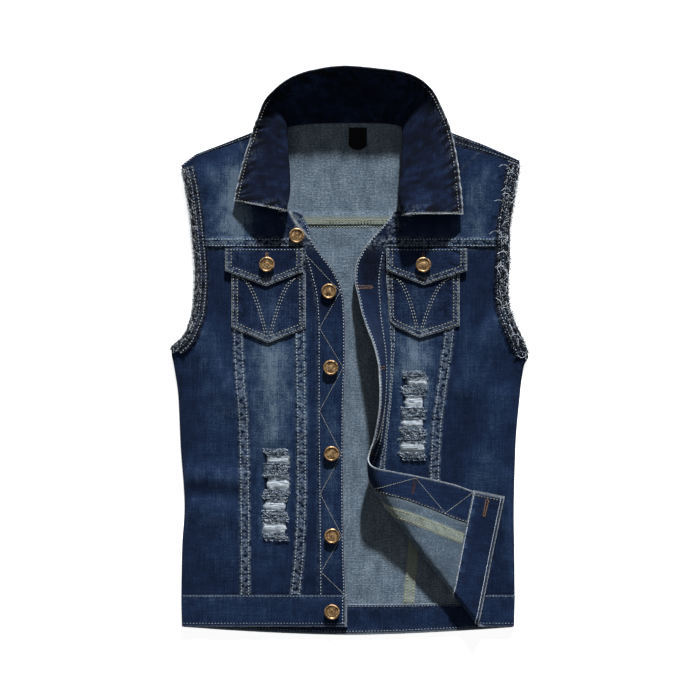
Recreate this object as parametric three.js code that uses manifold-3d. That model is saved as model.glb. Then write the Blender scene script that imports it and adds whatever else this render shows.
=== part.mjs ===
// A sleeveless denim vest laid flat on a table, seen from above: the back lies wrong side up,
// the two fronts lie on it, and the lower corner of the buttonhole front is turned back.
// Millimetres. +X is to the right as seen from above, +Y runs from the hem to the collar, +Z is up.
// The origin is on the table, under the middle of the laid garment. Left and right are the picture's.
import * as THREE from 'three';
import { mergeVertices } from 'three/addons/utils/BufferGeometryUtils.js';
import Module from 'manifold-3d';

// Cloth
const DENIM = 1.2; // one layer of the body
const BAND_CLOTH = 3.0; // the folded waistband
const COLLAR_CLOTH = 2.4; // two layers of the collar
const FELL_RISE = 1.0; // how far a flat-felled seam stands above its panel
const PLACKET_CLOTH = 1.8;
const POCKET_CLOTH = 1.2;
const FLAP_CLOTH = 2.0; // two layers of a pocket flap
const TRIM_CLOTH = 1.0; // the frayed strip round an armhole
const LABEL_CLOTH = 1.0;
const FELL_WIDTH = 14; // a flat-felled seam with its two rows of topstitching
const SEAM_GAP = 0.3; // between pieces, at seams and between layers
const SEAM_STEP = 0.8; // the plan width of the step at a felled seam's edge

// How the layers lie on the table
const FRONT_LIFT = 5.4; // middle of a front's wall above the table
const RIM_WIDTH = 8; // the stretch beside the outline where front and back close on each other
const SHOULDER_WIDTH = 26; // the same beside the shoulder folds
const FRONT_DROP = 1.8; // how far a front comes down there
const BAND_DROP = 0.5; // how far its waistband comes down
const BACK_RISE = 1.5; // how far the back comes up there
const POCKET_LIFT = DENIM / 2 + FELL_RISE + SEAM_GAP + POCKET_CLOTH / 2; // above the middle of the panel
const FLAP_PATCH_LIFT = POCKET_LIFT + POCKET_CLOTH / 2 + SEAM_GAP + FLAP_CLOTH / 2;

// From the middle of the picture to the middle of the finished part
const CENTRING = { x: 0.5, y: 3.2 };

// Heights on the plan
const BAND_SEAM_Y = -313; // waistband to fronts
const FRONT_HEM_Y = -354;
const YOKE_SEAM_Y = 131;
const BACK_YOKE_SEAM_Y = 161;
// Rows beside the yoke, from its seam to the placket's top
const PLACKET_TOP_ROWS = [131, 140, 149, 158, 168, 177];

// The outline of the body: x on the left side and on the right side at each height
const LEFT_OUTLINE = [
  { y: -356, x: -215 }, { y: -313, x: -216 }, { y: -250, x: -215 }, { y: -201, x: -212 },
  { y: -124, x: -217 }, { y: -60, x: -220 }, { y: -18, x: -226 }, { y: -2, x: -229 },
  { y: 5, x: -226.5 }, { y: 15, x: -215 }, { y: 27, x: -208.5 }, { y: 53, x: -200 },
  { y: 94, x: -197.5 }, { y: 145, x: -201 }, { y: 205, x: -208.5 }, { y: 237, x: -216 },
];
const RIGHT_OUTLINE = [
  { y: -356, x: 210 }, { y: -313, x: 211 }, { y: -250, x: 210.5 }, { y: -218, x: 210 },
  { y: -126, x: 212 }, { y: -60, x: 217.5 }, { y: -20, x: 223 }, { y: -8, x: 228.5 },
  { y: 0, x: 226 }, { y: 17, x: 219 }, { y: 34, x: 211 }, { y: 56, x: 203.5 },
  { y: 80, x: 201.5 }, { y: 121, x: 203.5 }, { y: 153, x: 203.5 }, { y: 185, x: 208 }, { y: 242, x: 218 },
];

// Seams of the left front, which carries the buttons
const LEFT_OUTER_SEAM = [
  { y: -313, x: -127 }, { y: -260, x: -127 }, { y: -182, x: -127.5 }, { y: -84, x: -129.5 },
  { y: -38, x: -133.5 }, { y: 21, x: -136 }, { y: 131, x: -137 },
];
const LEFT_INNER_SEAM = [
  { y: -313, x: -77 }, { y: -260, x: -72 }, { y: -182, x: -69 }, { y: -77, x: -69.5 },
  { y: 21, x: -71 }, { y: 131, x: -72 },
];
const LEFT_PLACKET_LINE = [
  { y: -354, x: -39 }, { y: -313, x: -39 }, { y: -182, x: -40 }, { y: -77, x: -41 }, { y: 21, x: -41 },
  { y: 63, x: -43 }, { y: 100, x: -51 }, { y: 131, x: -62 }, { y: 155, x: -79 }, { y: 178, x: -92 },
];
const LEFT_EDGE = [
  { y: -354, x: -4 }, { y: -313, x: -5 }, { y: -260, x: -7 }, { y: -182, x: -8 }, { y: -77, x: -7.5 },
  { y: -8, x: -5.5 }, { y: 25, x: -5.5 }, { y: 63, x: -7 }, { y: 83, x: -11.5 }, { y: 102, x: -21 },
  { y: 122, x: -36 }, { y: 140, x: -48 }, { y: 152, x: -51 }, { y: 166, x: -57 }, { y: 181, x: -66 },
];

// Seams of the right front, which carries the buttonholes, as it lies before its corner is turned back
const RIGHT_OUTER_SEAM = [
  { y: -313, x: 125 }, { y: -260, x: 116 }, { y: -200, x: 105 }, { y: -159, x: 101 }, { y: -131, x: 102 },
  { y: -97, x: 104 }, { y: -62, x: 108.5 }, { y: -22, x: 114 }, { y: 25, x: 120 }, { y: 131, x: 128 },
];
const RIGHT_INNER_SEAM = [
  { y: -313, x: 63 }, { y: -235, x: 49 }, { y: -200, x: 46 }, { y: -154, x: 45 }, { y: -108, x: 47 },
  { y: -85, x: 49 }, { y: -62, x: 51.5 }, { y: -34, x: 54 }, { y: 25, x: 57.5 }, { y: 131, x: 61 },
];
const RIGHT_PLACKET_LINE = [
  { y: -354, x: 37 }, { y: -311, x: 35 }, { y: -259, x: 26 }, { y: -225, x: 21 }, { y: -154, x: 18 },
  { y: -62, x: 23 }, { y: 25, x: 30 }, { y: 80, x: 36 }, { y: 131, x: 45 }, { y: 150, x: 58 },
  { y: 171, x: 80 },
];
const RIGHT_EDGE = [
  { y: -354, x: 0 }, { y: -320, x: -5 }, { y: -282, x: -10 }, { y: -215, x: -11 }, { y: -154, x: -10 },
  { y: -62, x: -7 }, { y: 25, x: -4 }, { y: 65, x: -1 }, { y: 93, x: 4 }, { y: 110, x: 7 }, { y: 122, x: 13 },
  { y: 140, x: 25 }, { y: 153, x: 37 }, { y: 171, x: 52 }, { y: 178, x: 56 },
];

// The turned-back corner: it rolls over a slanting line from the hem to the front edge
const ROLL_HEM = { x: 164, y: -355 };
const ROLL_EDGE = { x: 0, y: -154 };
const ROLL_RADIUS_HEM = 5.4;
const ROLL_RADIUS_EDGE = 15;
const FLAP_LIFT = 11.4; // where the turned-back corner comes to rest
const FLAP_SETTLE = 62; // how far from the roll it has come down
const ROLL_ROW = 6.6; // rows this close follow the roll
const ROLL_REACH = 15; // the roll's half width across the waistband
const ROLL_BANDS = { // where each piece rolls over, from one height to another
  side: [-320, -262], centre: [-320, -190], strip: [-262, -125], placket: [-240, -92],
};

// The edge of the buttonhole front stands up above the turned-back corner: at each height,
// how far the free edge is pushed towards the side and how high it stands
const EDGE_STAND = [
  { y: -354, push: 0, rise: 0 }, { y: -230, push: 0, rise: 0 }, { y: -190, push: 4, rise: 2 },
  { y: -150, push: 22, rise: 8 }, { y: -110, push: 40, rise: 26 }, { y: -62, push: 45, rise: 34 },
  { y: -26, push: 43, rise: 32 }, { y: 3, push: 36, rise: 27 }, { y: 29, push: 25, rise: 20 },
  { y: 48, push: 17, rise: 15 }, { y: 65, push: 12, rise: 11 }, { y: 93, push: 2, rise: 7 },
  { y: 131, push: 0, rise: 3 }, { y: 171, push: 0, rise: 0 }, { y: 300, push: 0, rise: 0 },
];

// Soft folds of the fronts: from one point to another, how wide and how high (a trough is negative)
const FOLDS = [
  { x1: -212, y1: -176, x2: -150, y2: -186, width: 9, rise: -1.3 },
  { x1: -208, y1: -160, x2: -150, y2: -166, width: 11, rise: 3.0 },
  { x1: -205, y1: -206, x2: -150, y2: -214, width: 12, rise: 2.2 },
  { x1: -195, y1: 20, x2: -150, y2: -60, width: 16, rise: 3.2 },
  { x1: -176, y1: -60, x2: -158, y2: -290, width: 17, rise: 2.6 },
  { x1: -100, y1: -20, x2: -98, y2: -110, width: 15, rise: 2.4 },
  { x1: -24, y1: 20, x2: -26, y2: -290, width: 13, rise: 2.2 },
  { x1: -180, y1: 215, x2: -170, y2: 150, width: 15, rise: 3.0 },
  { x1: 169, y1: 42, x2: 128, y2: -22, width: 7, rise: -1.3 },
  { x1: 186, y1: 30, x2: 150, y2: -50, width: 13, rise: 4.0 },
  { x1: 192, y1: -60, x2: 165, y2: -190, width: 14, rise: 3.2 },
  { x1: 200, y1: -160, x2: 203, y2: -290, width: 6, rise: 2.2 },
  { x1: 86, y1: -20, x2: 84, y2: -120, width: 14, rise: 2.6 },
  { x1: 178, y1: 215, x2: 170, y2: 150, width: 15, rise: 3.0 },
];

// Collar: a section at each place round the neck, from the left front end to the right one.
// neck is the seam, roll is where the collar turns over, edge is its outer edge, each as x, y and z,
// and crown is its greatest height there.
const COLLAR_SECTIONS = [
  { neck: [-92, 177, 7.6], roll: [-82, 176, 17], crown: 27, edge: [-148, 190.5, 11.5] },
  { neck: [-89, 205, 7.6], roll: [-77, 205, 14.5], crown: 23, edge: [-143.5, 212, 10.8] },
  { neck: [-90, 234, 7.6], roll: [-78.5, 234, 12.5], crown: 19.5, edge: [-136, 242, 9.8] },
  { neck: [-90, 259, 7.8], roll: [-80, 260, 12], crown: 18, edge: [-127, 271, 10.5] },
  { neck: [-88, 277, 7.8], roll: [-80.5, 279, 11], crown: 18, edge: [-117.5, 297, 16] },
  { neck: [-78, 287, 5.2], roll: [-76, 291, 9], crown: 14, edge: [-104, 322, 27] },
  { neck: [-48, 291, 3.4], roll: [-50, 298, 5.4], crown: 8.6, edge: [-69, 346.5, 36] },
  { neck: [-10, 292, 2.9], roll: [-11, 300, 4.8], crown: 8, edge: [-17, 357.5, 39] },
  { neck: [24, 292, 2.9], roll: [25, 300, 4.8], crown: 8, edge: [32, 355, 39] },
  { neck: [50, 291, 3.4], roll: [52, 298, 5.4], crown: 8.6, edge: [75, 348.5, 36] },
  { neck: [66, 287, 5.2], roll: [65, 289, 9], crown: 13.5, edge: [102, 332, 28] },
  { neck: [77, 274, 7.8], roll: [68, 274, 11], crown: 17, edge: [117, 308, 18] },
  { neck: [79, 250, 7.6], roll: [67.5, 250, 12], crown: 17, edge: [129, 280, 11.5] },
  { neck: [78, 222, 7.6], roll: [66, 222, 13.5], crown: 22, edge: [137, 243, 10] },
  { neck: [75, 197, 7.6], roll: [62.5, 197, 16], crown: 27, edge: [141.5, 207, 12] },
  { neck: [78, 171, 7.6], roll: [67, 171, 18.5], crown: 34, edge: [144.5, 173, 14] },
];
const COLLAR_STEPS = 46; // along the neck
const COLLAR_ROWS = [0, 0.1, 0.2, 0.3, 0.4, 0.5, 0.65, 0.82, 1]; // from neck to edge
const CROWN_SHARE = 0.13; // the crown's place on the way from roll to edge
const FALL_SHARE = 0.55; // and the fall's
const FALL_HEIGHT_SHARE = 0.45; // the fall's height between the crown's and the edge's
const FALL_ROUND = 0.8; // how far it is rounded above that

// Pockets and their flaps: the corners on the plan
const POCKETS = {
  left: { top: 98, left: -151.5, right: -56.5, cornerLeftY: 29, cornerRightY: 27.5, tipX: -104.5, tipY: 9 },
  right: { top: 98, left: 45.5, right: 140, cornerLeftY: 36, cornerRightY: 31, tipX: 89, tipY: 15.5 },
};
const FLAPS = {
  left: { top: 130, left: -159.5, right: -60, cornerLeftY: 101, cornerRightY: 100, tipX: -107, tipY: 81.5 },
  right: { top: 130, left: 46, right: 149.5, cornerLeftY: 101, cornerRightY: 101, tipX: 94.5, tipY: 83 },
};

// Worn windows in the centre panels, where only the weft is left: corners on the plan
const WEAR_LEFT = [
  { left: -105, right: -78.5, top: -135, bottom: -146 },
  { left: -105, right: -79, top: -163.5, bottom: -180 },
  { left: -108, right: -83.5, top: -192.5, bottom: -206.5 },
  { left: -110, right: -83.5, top: -220.5, bottom: -235 },
];
const WEAR_RIGHT = [
  { left: 74, right: 97, top: -36, bottom: -47 },
  { left: 71.5, right: 92, top: -58, bottom: -75 },
  { left: 67.5, right: 92, top: -87, bottom: -100 },
  { left: 66, right: 94, top: -117, bottom: -132 },
];
const WEFT_PITCH = 3.6; // from one bundle of weft to the next
const WEFT_SLOT = 1.1; // the gap between two bundles
const WEFT_CLOTH = 0.8;
const WEFT_MARGIN = 3; // how far the weft runs under the panel round its window

// Buttons
const BUTTON_RADIUS = 9.8;
const BUTTON_HEIGHT = 4.6;
const BUTTON_SIDES = 16;
const SHANK_RADIUS = 4.2;
const SHANK_HEIGHT = 1.4;
const RIM_WIDE = 1.6; // from the button's outside to the top of its rim
const DISH_WIDE = 2.8; // and to the foot of the rim inside
const BOSS_RADIUS = 3.4;
const FRONT_BUTTONS = [
  { x: -68, y: 146 }, { x: -27, y: 75 }, { x: -24.5, y: -22.5 }, { x: -23.5, y: -132.5 },
  { x: -23, y: -237.5 }, { x: -23, y: -334.5 },
];
const FLAP_BUTTONS = { left: { x: -106, y: 109 }, right: { x: 93.5, y: 108.5 } };

// Frayed strip round each armhole, and the neck label
const TRIM_WIDTH = 17;
const TRIM_OVERHANG = 1.6; // how far it stands out past the armhole's edge
const TRIM_HEIGHTS = {
  left: [0, 6, 15, 27, 42, 60, 85, 115, 128, 134, 160, 190, 215, 232],
  right: [-4, 4, 17, 34, 48, 62, 85, 115, 128, 134, 160, 190, 215, 236],
};
const LABEL = { left: -1.5, right: 21.5, top: 285, bottom: 256, sag: 6 };

const clamp = (v, lo, hi) => Math.min(hi, Math.max(lo, v));
const lerp = (a, b, t) => a + (b - a) * t;
const ramp = (lo, hi, v) => {
  const t = clamp((v - lo) / (hi - lo), 0, 1);
  return t * t * (3 - 2 * t);
};
const steps = (n) => Array.from({ length: n + 1 }, (_, i) => i / n);

/** Heights from one to another, with steps no longer than given, and any special ones between. */
function heightsBetween(from, to, step, special = []) {
  const stops = [from, ...special.filter((y) => y > from && y < to), to].sort((a, b) => a - b);
  const heights = [from];
  for (let i = 1; i < stops.length; i++) {
    const n = Math.max(1, Math.round((stops[i] - stops[i - 1]) / step));
    for (let k = 1; k <= n; k++) heights.push(lerp(stops[i - 1], stops[i], k / n));
  }
  return heights;
}

/** A smooth function through a table's rows that never overshoots them. */
function through(rows, key = 'x', by = 'y') {
  const sorted = [...rows].sort((a, b) => a[by] - b[by]);
  const at = sorted.map((row) => row[by]);
  const value = sorted.map((row) => row[key]);
  const slope = at.slice(1).map((y, i) => (value[i + 1] - value[i]) / (y - at[i]));
  const tangent = value.map((_, i) => {
    if (i === 0) return slope[0];
    if (i === value.length - 1) return slope[i - 1];
    const [a, b] = [slope[i - 1], slope[i]];
    return a * b <= 0 ? 0 : (2 * a * b) / (a + b);
  });
  return (y) => {
    if (y <= at[0]) return value[0] + (y - at[0]) * tangent[0];
    const last = at.length - 1;
    if (y >= at[last]) return value[last] + (y - at[last]) * tangent[last];
    const i = at.findIndex((a) => a > y) - 1;
    const h = at[i + 1] - at[i];
    const t = (y - at[i]) / h;
    const t2 = t * t;
    const t3 = t2 * t;
    return (2 * t3 - 3 * t2 + 1) * value[i] + (t3 - 2 * t2 + t) * h * tangent[i]
      + (3 * t2 - 2 * t3) * value[i + 1] + (t3 - t2) * h * tangent[i + 1];
  };
}

const leftOutline = through(LEFT_OUTLINE);
const rightOutline = through(RIGHT_OUTLINE);
const leftOuter = through(LEFT_OUTER_SEAM);
const leftInner = through(LEFT_INNER_SEAM);
const leftPlacket = through(LEFT_PLACKET_LINE);
const leftEdge = through(LEFT_EDGE);
const rightOuter = through(RIGHT_OUTER_SEAM);
const rightInner = through(RIGHT_INNER_SEAM);
const rightPlacket = through(RIGHT_PLACKET_LINE);
const rightEdge = through(RIGHT_EDGE);
const edgePush = through(EDGE_STAND, 'push');
const edgeRise = through(EDGE_STAND, 'rise');

// The shoulder seams, from armhole to neck, and the fold of the back above them
const LEFT_SHOULDER = { tip: { x: -214.5, y: 233 }, neck: { x: -88, y: 287.5 } };
const RIGHT_SHOULDER = { tip: { x: 211, y: 239.5 }, neck: { x: 76, y: 277 } };
const BACK_TOP = [
  { x: -215.5, y: 238, wrap: 4.5 }, { x: -197, y: 252, wrap: 4.5 }, { x: -164, y: 264.5, wrap: 5 },
  { x: -128, y: 279, wrap: 7 }, { x: -90, y: 296, wrap: 9 }, { x: -84, y: 296, wrap: 0 },
  { x: -60, y: 294, wrap: 0 }, { x: -20, y: 293.5, wrap: 0 }, { x: 20, y: 293.5, wrap: 0 },
  { x: 54, y: 294, wrap: 0 }, { x: 76, y: 297, wrap: 0 }, { x: 82, y: 297, wrap: 21 },
  { x: 129, y: 280, wrap: 17 }, { x: 174, y: 263, wrap: 11.5 }, { x: 200, y: 251.5, wrap: 8 },
  { x: 217, y: 244, wrap: 6 },
];
const WRAP_TURN = 5; // steps of the fold over the shoulder
const WRAP_REACH = 3; // how far the fold stands out
const SHOULDER_GAP = 0.7; // between the front yoke's top edge and the strip that wraps over
// Where the back wraps over
const SHOULDER_POINTS = { left: BACK_TOP.slice(0, 5), right: BACK_TOP.slice(11) };

// The back below its yoke: its two upright seams, its waistband's seam and its hem
const BACK_HALF_WIDTH = 210;
const backSeam = (sign) => (y) => sign * lerp(68, 112, (y + 325) / 480);
const backBandSeam = (x) => -325.5 + 3.5 * (x / BACK_HALF_WIDTH) ** 2;
const backHem = (x) => -365 + 10 * Math.abs(x / BACK_HALF_WIDTH) ** 1.6;
const BACK_BAND = { left: -213, right: 209 };

// The sides and the shoulders as straight runs, for the distance from a point to them
const runsThrough = (points) => points.slice(1).map((point, i) => [points[i], point]);
const OUTLINE_RUNS = (() => {
  const heights = heightsBetween(-356, 237, 12);
  const left = heights.map((y) => ({ x: leftOutline(y), y }));
  const right = heights.map((y) => ({ x: rightOutline(y), y }));
  return [...runsThrough(left), ...runsThrough(right)];
})();
const SHOULDER_RUNS = [...runsThrough(SHOULDER_POINTS.left), ...runsThrough(SHOULDER_POINTS.right)];

/** Distance from a point to the run from a to b, and how far along the run the nearest place is. */
function toRun(x, y, a, b) {
  const dx = b.x - a.x;
  const dy = b.y - a.y;
  const along = clamp(((x - a.x) * dx + (y - a.y) * dy) / (dx * dx + dy * dy), 0, 1);
  return { away: Math.hypot(x - a.x - along * dx, y - a.y - along * dy), along };
}

/** 1 on the runs, falling to 0 at the given distance from them. */
function closeTo(runs, width, x, y) {
  const nearest = Math.min(width, ...runs.map(([a, b]) => toRun(x, y, a, b).away));
  return 1 - ramp(0, width, nearest);
}
const rim = (x, y) => closeTo(OUTLINE_RUNS, RIM_WIDTH, x, y);

function foldHeight(x, y) {
  let height = 0;
  for (const fold of FOLDS) {
    const { away } = toRun(x, y, { x: fold.x1, y: fold.y1 }, { x: fold.x2, y: fold.y2 });
    if (away < 3 * fold.width) height += fold.rise * Math.exp(-0.5 * (away / fold.width) ** 2);
  }
  return height * ramp(BAND_SEAM_Y, BAND_SEAM_Y + 45, y);
}

function frontHeight(x, y) {
  const drop = lerp(BAND_DROP, FRONT_DROP, ramp(BAND_SEAM_Y, BAND_SEAM_Y + 25, y));
  const closed = Math.max(rim(x, y), closeTo(SHOULDER_RUNS, SHOULDER_WIDTH, x, y));
  return FRONT_LIFT - drop * closed + foldHeight(x, y) * (1 - closed);
}

const leftFront = (x, y) => new THREE.Vector3(x, y, frontHeight(x, y));
const back = (x, y) => new THREE.Vector3(x, y, DENIM / 2 + BACK_RISE * rim(x, y));
const backBand = (x, y) => new THREE.Vector3(x, y, BAND_CLOTH / 2);

// The roll's own directions on the plan: along it from hem to edge, and across it to the turned-back side
const rollLength = Math.hypot(ROLL_EDGE.x - ROLL_HEM.x, ROLL_EDGE.y - ROLL_HEM.y);
const rollAlong = { x: (ROLL_EDGE.x - ROLL_HEM.x) / rollLength, y: (ROLL_EDGE.y - ROLL_HEM.y) / rollLength };
const rollAcross = { x: -rollAlong.y, y: rollAlong.x };

/** A point of the unfolded right front, where it comes to lie. */
function rightFront(x, y) {
  const along = (x - ROLL_HEM.x) * rollAlong.x + (y - ROLL_HEM.y) * rollAlong.y;
  const across = (x - ROLL_HEM.x) * rollAcross.x + (y - ROLL_HEM.y) * rollAcross.y;
  const radius = lerp(ROLL_RADIUS_HEM, ROLL_RADIUS_EDGE, ramp(-20, rollLength + 30, along) ** 2.6);
  const length = Math.PI * radius;
  const start = -length / 2;
  const past = across - start; // cloth beyond the start of the roll
  let reach = across;
  let height = lerp(frontHeight(x, y), FRONT_LIFT, ramp(-35, 0, past));
  if (past > length) {
    reach = -across;
    const settled = ramp(0, FLAP_SETTLE, past - length);
    height = lerp(FRONT_LIFT + 2 * radius, FLAP_LIFT, settled);
  } else if (past > 0) {
    reach = start + radius * Math.sin(past / radius);
    height = FRONT_LIFT + radius * (1 - Math.cos(past / radius));
  }
  const shift = reach - across;
  const strip = clamp((rightInner(y) - x) / (rightInner(y) - rightEdge(y)), 0, 1.05);
  return new THREE.Vector3(
    x + shift * rollAcross.x + edgePush(y) * strip,
    y + shift * rollAcross.y,
    height + edgeRise(y) * strip ** 1.2,
  );
}

/** The way a laid surface faces at a point of its plan. */
function facing(surface, x, y) {
  const reach = 0.5;
  const across = surface(x + reach, y).sub(surface(x - reach, y));
  const along = surface(x, y + reach).sub(surface(x, y - reach));
  return across.cross(along).normalize();
}

/** Turns a closed geometry's faces outwards, whichever way they were made. */
function facingOut(points, faces) {
  const geometry = new THREE.BufferGeometry();
  geometry.setAttribute('position', new THREE.BufferAttribute(new Float32Array(points.flat()), 3));
  let volume = 0;
  const [a, b, c] = [new THREE.Vector3(), new THREE.Vector3(), new THREE.Vector3()];
  for (const face of faces) {
    a.fromArray(points[face[0]]);
    b.fromArray(points[face[1]]);
    c.fromArray(points[face[2]]);
    volume += a.dot(b.cross(c));
  }
  geometry.setIndex(faces.flatMap((face) => (volume < 0 ? [face[0], face[2], face[1]] : face)));
  return geometry;
}

/**
 * A closed wall of cloth over a grid. us and vs are the grid's places from 0 to 1, point gives the
 * wall's middle there and its facing, and thickness gives how far it reaches below and above that.
 */
function wall(us, vs, point, thickness) {
  const points = [];
  for (const v of vs) {
    for (const u of us) {
      const { middle, normal } = point(u, v);
      const { below, above } = thickness(u, v);
      points.push(middle.clone().addScaledVector(normal, -below).toArray());
      points.push(middle.clone().addScaledVector(normal, above).toArray());
    }
  }
  const id = (i, j, top) => 2 * (j * us.length + i) + top;
  const faces = [];
  const quad = (a, b, c, d) => faces.push([a, b, c], [a, c, d]);
  const [lastU, lastV] = [us.length - 1, vs.length - 1];
  for (let j = 0; j < lastV; j++) {
    for (let i = 0; i < lastU; i++) {
      quad(id(i, j, 1), id(i + 1, j, 1), id(i + 1, j + 1, 1), id(i, j + 1, 1));
      quad(id(i, j, 0), id(i, j + 1, 0), id(i + 1, j + 1, 0), id(i + 1, j, 0));
    }
  }
  for (let i = 0; i < lastU; i++) {
    quad(id(i, 0, 0), id(i + 1, 0, 0), id(i + 1, 0, 1), id(i, 0, 1));
    quad(id(i, lastV, 1), id(i + 1, lastV, 1), id(i + 1, lastV, 0), id(i, lastV, 0));
  }
  for (let j = 0; j < lastV; j++) {
    quad(id(0, j, 1), id(0, j + 1, 1), id(0, j + 1, 0), id(0, j, 0));
    quad(id(lastU, j, 0), id(lastU, j + 1, 0), id(lastU, j + 1, 1), id(lastU, j, 1));
  }
  return facingOut(points, faces);
}

/** A wall that lies on a surface: plan gives the place on the plan for each u and v. */
function laidWall(us, vs, surface, plan, { cloth = DENIM, lift = 0, raised = () => false } = {}) {
  return wall(
    us,
    vs,
    (u, v) => {
      const { x, y } = plan(u, v);
      return { middle: surface(x, y), normal: facing(surface, x, y) };
    },
    (u, v) => {
      const { x, y } = plan(u, v);
      const fell = raised(u, v) ? FELL_RISE * (1 - rim(x, y)) : 0;
      return { below: cloth / 2 - lift, above: cloth / 2 + lift + fell };
    },
  );
}

/**
 * A cut piece between two seams that run up the garment, from one height to another. A felled seam
 * on its left or right side is a raised strip of the piece.
 */
function cutPiece(surface, left, right, heights, columns, options = {}) {
  const { fellLeft = false, fellRight = false, ...cloth } = options;
  const middle = heights[Math.floor(heights.length / 2)];
  const width = right(middle) - left(middle) - SEAM_GAP;
  const fell = FELL_WIDTH / width;
  const edge = (FELL_WIDTH + SEAM_STEP) / width;
  const us = [0];
  if (fellLeft) us.push(fell / 2, fell, edge);
  const from = fellLeft ? edge : 0;
  const to = fellRight ? 1 - edge : 1;
  for (let i = 1; i < columns; i++) us.push(lerp(from, to, i / columns));
  if (fellRight) us.push(1 - edge, 1 - fell, 1 - fell / 2);
  us.push(1);
  const vs = heights.map((_, j) => j);
  const raised = (u) => (fellLeft && u <= fell + 1e-6) || (fellRight && u >= 1 - fell - 1e-6);
  return laidWall(
    us,
    vs,
    surface,
    (u, v) => {
      const inset = v === 0 ? SEAM_GAP / 2 : v === heights.length - 1 ? -SEAM_GAP / 2 : 0;
      const y = heights[v] + inset;
      return { x: lerp(left(y) + SEAM_GAP / 2, right(y) - SEAM_GAP / 2, u), y };
    },
    { ...cloth, raised },
  );
}

const wasm = await Module();
wasm.setup();

function toSolid(geometry) {
  const bare = geometry.clone();
  bare.deleteAttribute('normal');
  bare.deleteAttribute('uv');
  const merged = mergeVertices(bare, 1e-4);
  return new wasm.Manifold(new wasm.Mesh({
    numProp: 3,
    vertProperties: merged.attributes.position.array,
    triVerts: new Uint32Array(merged.index.array),
  }));
}

function toGeometry(solid) {
  const mesh = solid.getMesh();
  const geometry = new THREE.BufferGeometry();
  geometry.setAttribute('position', new THREE.BufferAttribute(new Float32Array(mesh.vertProperties), 3));
  geometry.setIndex(new THREE.BufferAttribute(new Uint32Array(mesh.triVerts), 1));
  return geometry;
}

/** An upright block over a rectangle of the plan, for cutting. */
function cutter({ left, right, top, bottom }) {
  const high = 60;
  return toSolid(new THREE.BoxGeometry(right - left, top - bottom, high)
    .translate((left + right) / 2, (top + bottom) / 2, 0));
}

/** A worn window's edge is not straight: two overlapping blocks, the upper one wider. */
function wornOpening(window) {
  const inset = 2.2;
  const tall = window.top - window.bottom;
  const upper = { ...window, bottom: window.bottom + tall * 0.3 };
  const narrower = { left: window.left + inset, right: window.right - inset };
  const lower = { ...window, ...narrower, top: window.top - tall * 0.4 };
  return cutter(upper).add(cutter(lower));
}

const vest = new THREE.Group();
vest.name = 'denim vest';

const indigo = new THREE.MeshStandardMaterial({ color: 0x27395c, roughness: 0.92 });
const faded = new THREE.MeshStandardMaterial({ color: 0x4a6480, roughness: 0.92 });
const wrongSide = new THREE.MeshStandardMaterial({ color: 0x7b8c9b, roughness: 0.95 });
const darkIndigo = new THREE.MeshStandardMaterial({ color: 0x1a2440, roughness: 0.9 });
const weftWhite = new THREE.MeshStandardMaterial({ color: 0xc9d3da, roughness: 0.95 });
const fray = new THREE.MeshStandardMaterial({ color: 0x5c6b7c, roughness: 1 });
const copper = new THREE.MeshStandardMaterial({ color: 0xb58a55, roughness: 0.42, metalness: 0.85 });
const labelCloth = new THREE.MeshStandardMaterial({ color: 0x101318, roughness: 0.7 });

function add(name, geometry, material) {
  const mesh = new THREE.Mesh(geometry, material);
  mesh.name = name;
  vest.add(mesh);
}


/** Rows up a right front piece: close together from low to high, where the cloth rolls over. */
function rollRows(low, high, top) {
  const rows = [BAND_SEAM_Y];
  for (let k = 1; BAND_SEAM_Y + k * ROLL_ROW < top - ROLL_ROW; k++) {
    const y = BAND_SEAM_Y + k * ROLL_ROW;
    if ((y > low && y < high) || k % 3 === 0) rows.push(y);
  }
  return [...rows, top];
}

/** The four long pieces of a front below its yoke. */
function makeFront(side) {
  const isLeft = side === 'left';
  const surface = isLeft ? leftFront : rightFront;
  const [outline, outer, inner] = isLeft
    ? [leftOutline, leftOuter, leftInner] : [rightOutline, rightOuter, rightInner];
  const [placket, edge] = isLeft ? [leftPlacket, leftEdge] : [rightPlacket, rightEdge];
  const between = (a, b) => (isLeft ? [a, b] : [b, a]);
  const armholeRows = isLeft ? [-2, 15, 27, 53] : [-8, 8, 17, 34, 56];
  const upper = (from) => heightsBetween(from, YOKE_SEAM_Y, 15);
  const rows = (rollBand) => (isLeft
    ? [...heightsBetween(BAND_SEAM_Y, 56, 26), ...upper(56).slice(1)]
    : [...rollRows(...rollBand, 35), ...upper(35).slice(1)]);
  const sideRows = isLeft
    ? heightsBetween(BAND_SEAM_Y, YOKE_SEAM_Y, 26, armholeRows)
    : [...rollRows(...ROLL_BANDS.side, -46), ...heightsBetween(-46, YOKE_SEAM_Y, 22, armholeRows).slice(1)];
  const fellOuter = isLeft ? { fellRight: true } : { fellLeft: true };
  const fellInner = isLeft ? { fellLeft: true } : { fellRight: true };
  add(`front_${side}_side_panel`,
    cutPiece(surface, ...between(outline, outer), sideRows, isLeft ? 5 : 6, fellOuter), indigo);

  let centre = toSolid(cutPiece(surface, ...between(outer, inner), rows(ROLL_BANDS.centre), isLeft ? 4 : 6));
  for (const window of isLeft ? WEAR_LEFT : WEAR_RIGHT) centre = centre.subtract(wornOpening(window));
  add(`front_${side}_centre_panel`, toGeometry(centre), faded);

  add(`front_${side}_inner_strip`,
    cutPiece(surface, ...between(inner, placket), rows(ROLL_BANDS.strip), 2, fellInner), indigo);
  const placketRows = [...rows(ROLL_BANDS.placket), ...PLACKET_TOP_ROWS.slice(1)];
  const placketCloth = { cloth: PLACKET_CLOTH };
  add(`front_${side}_placket`,
    cutPiece(surface, ...between(placket, edge), placketRows, isLeft ? 3 : 4, placketCloth), indigo);
}

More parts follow.
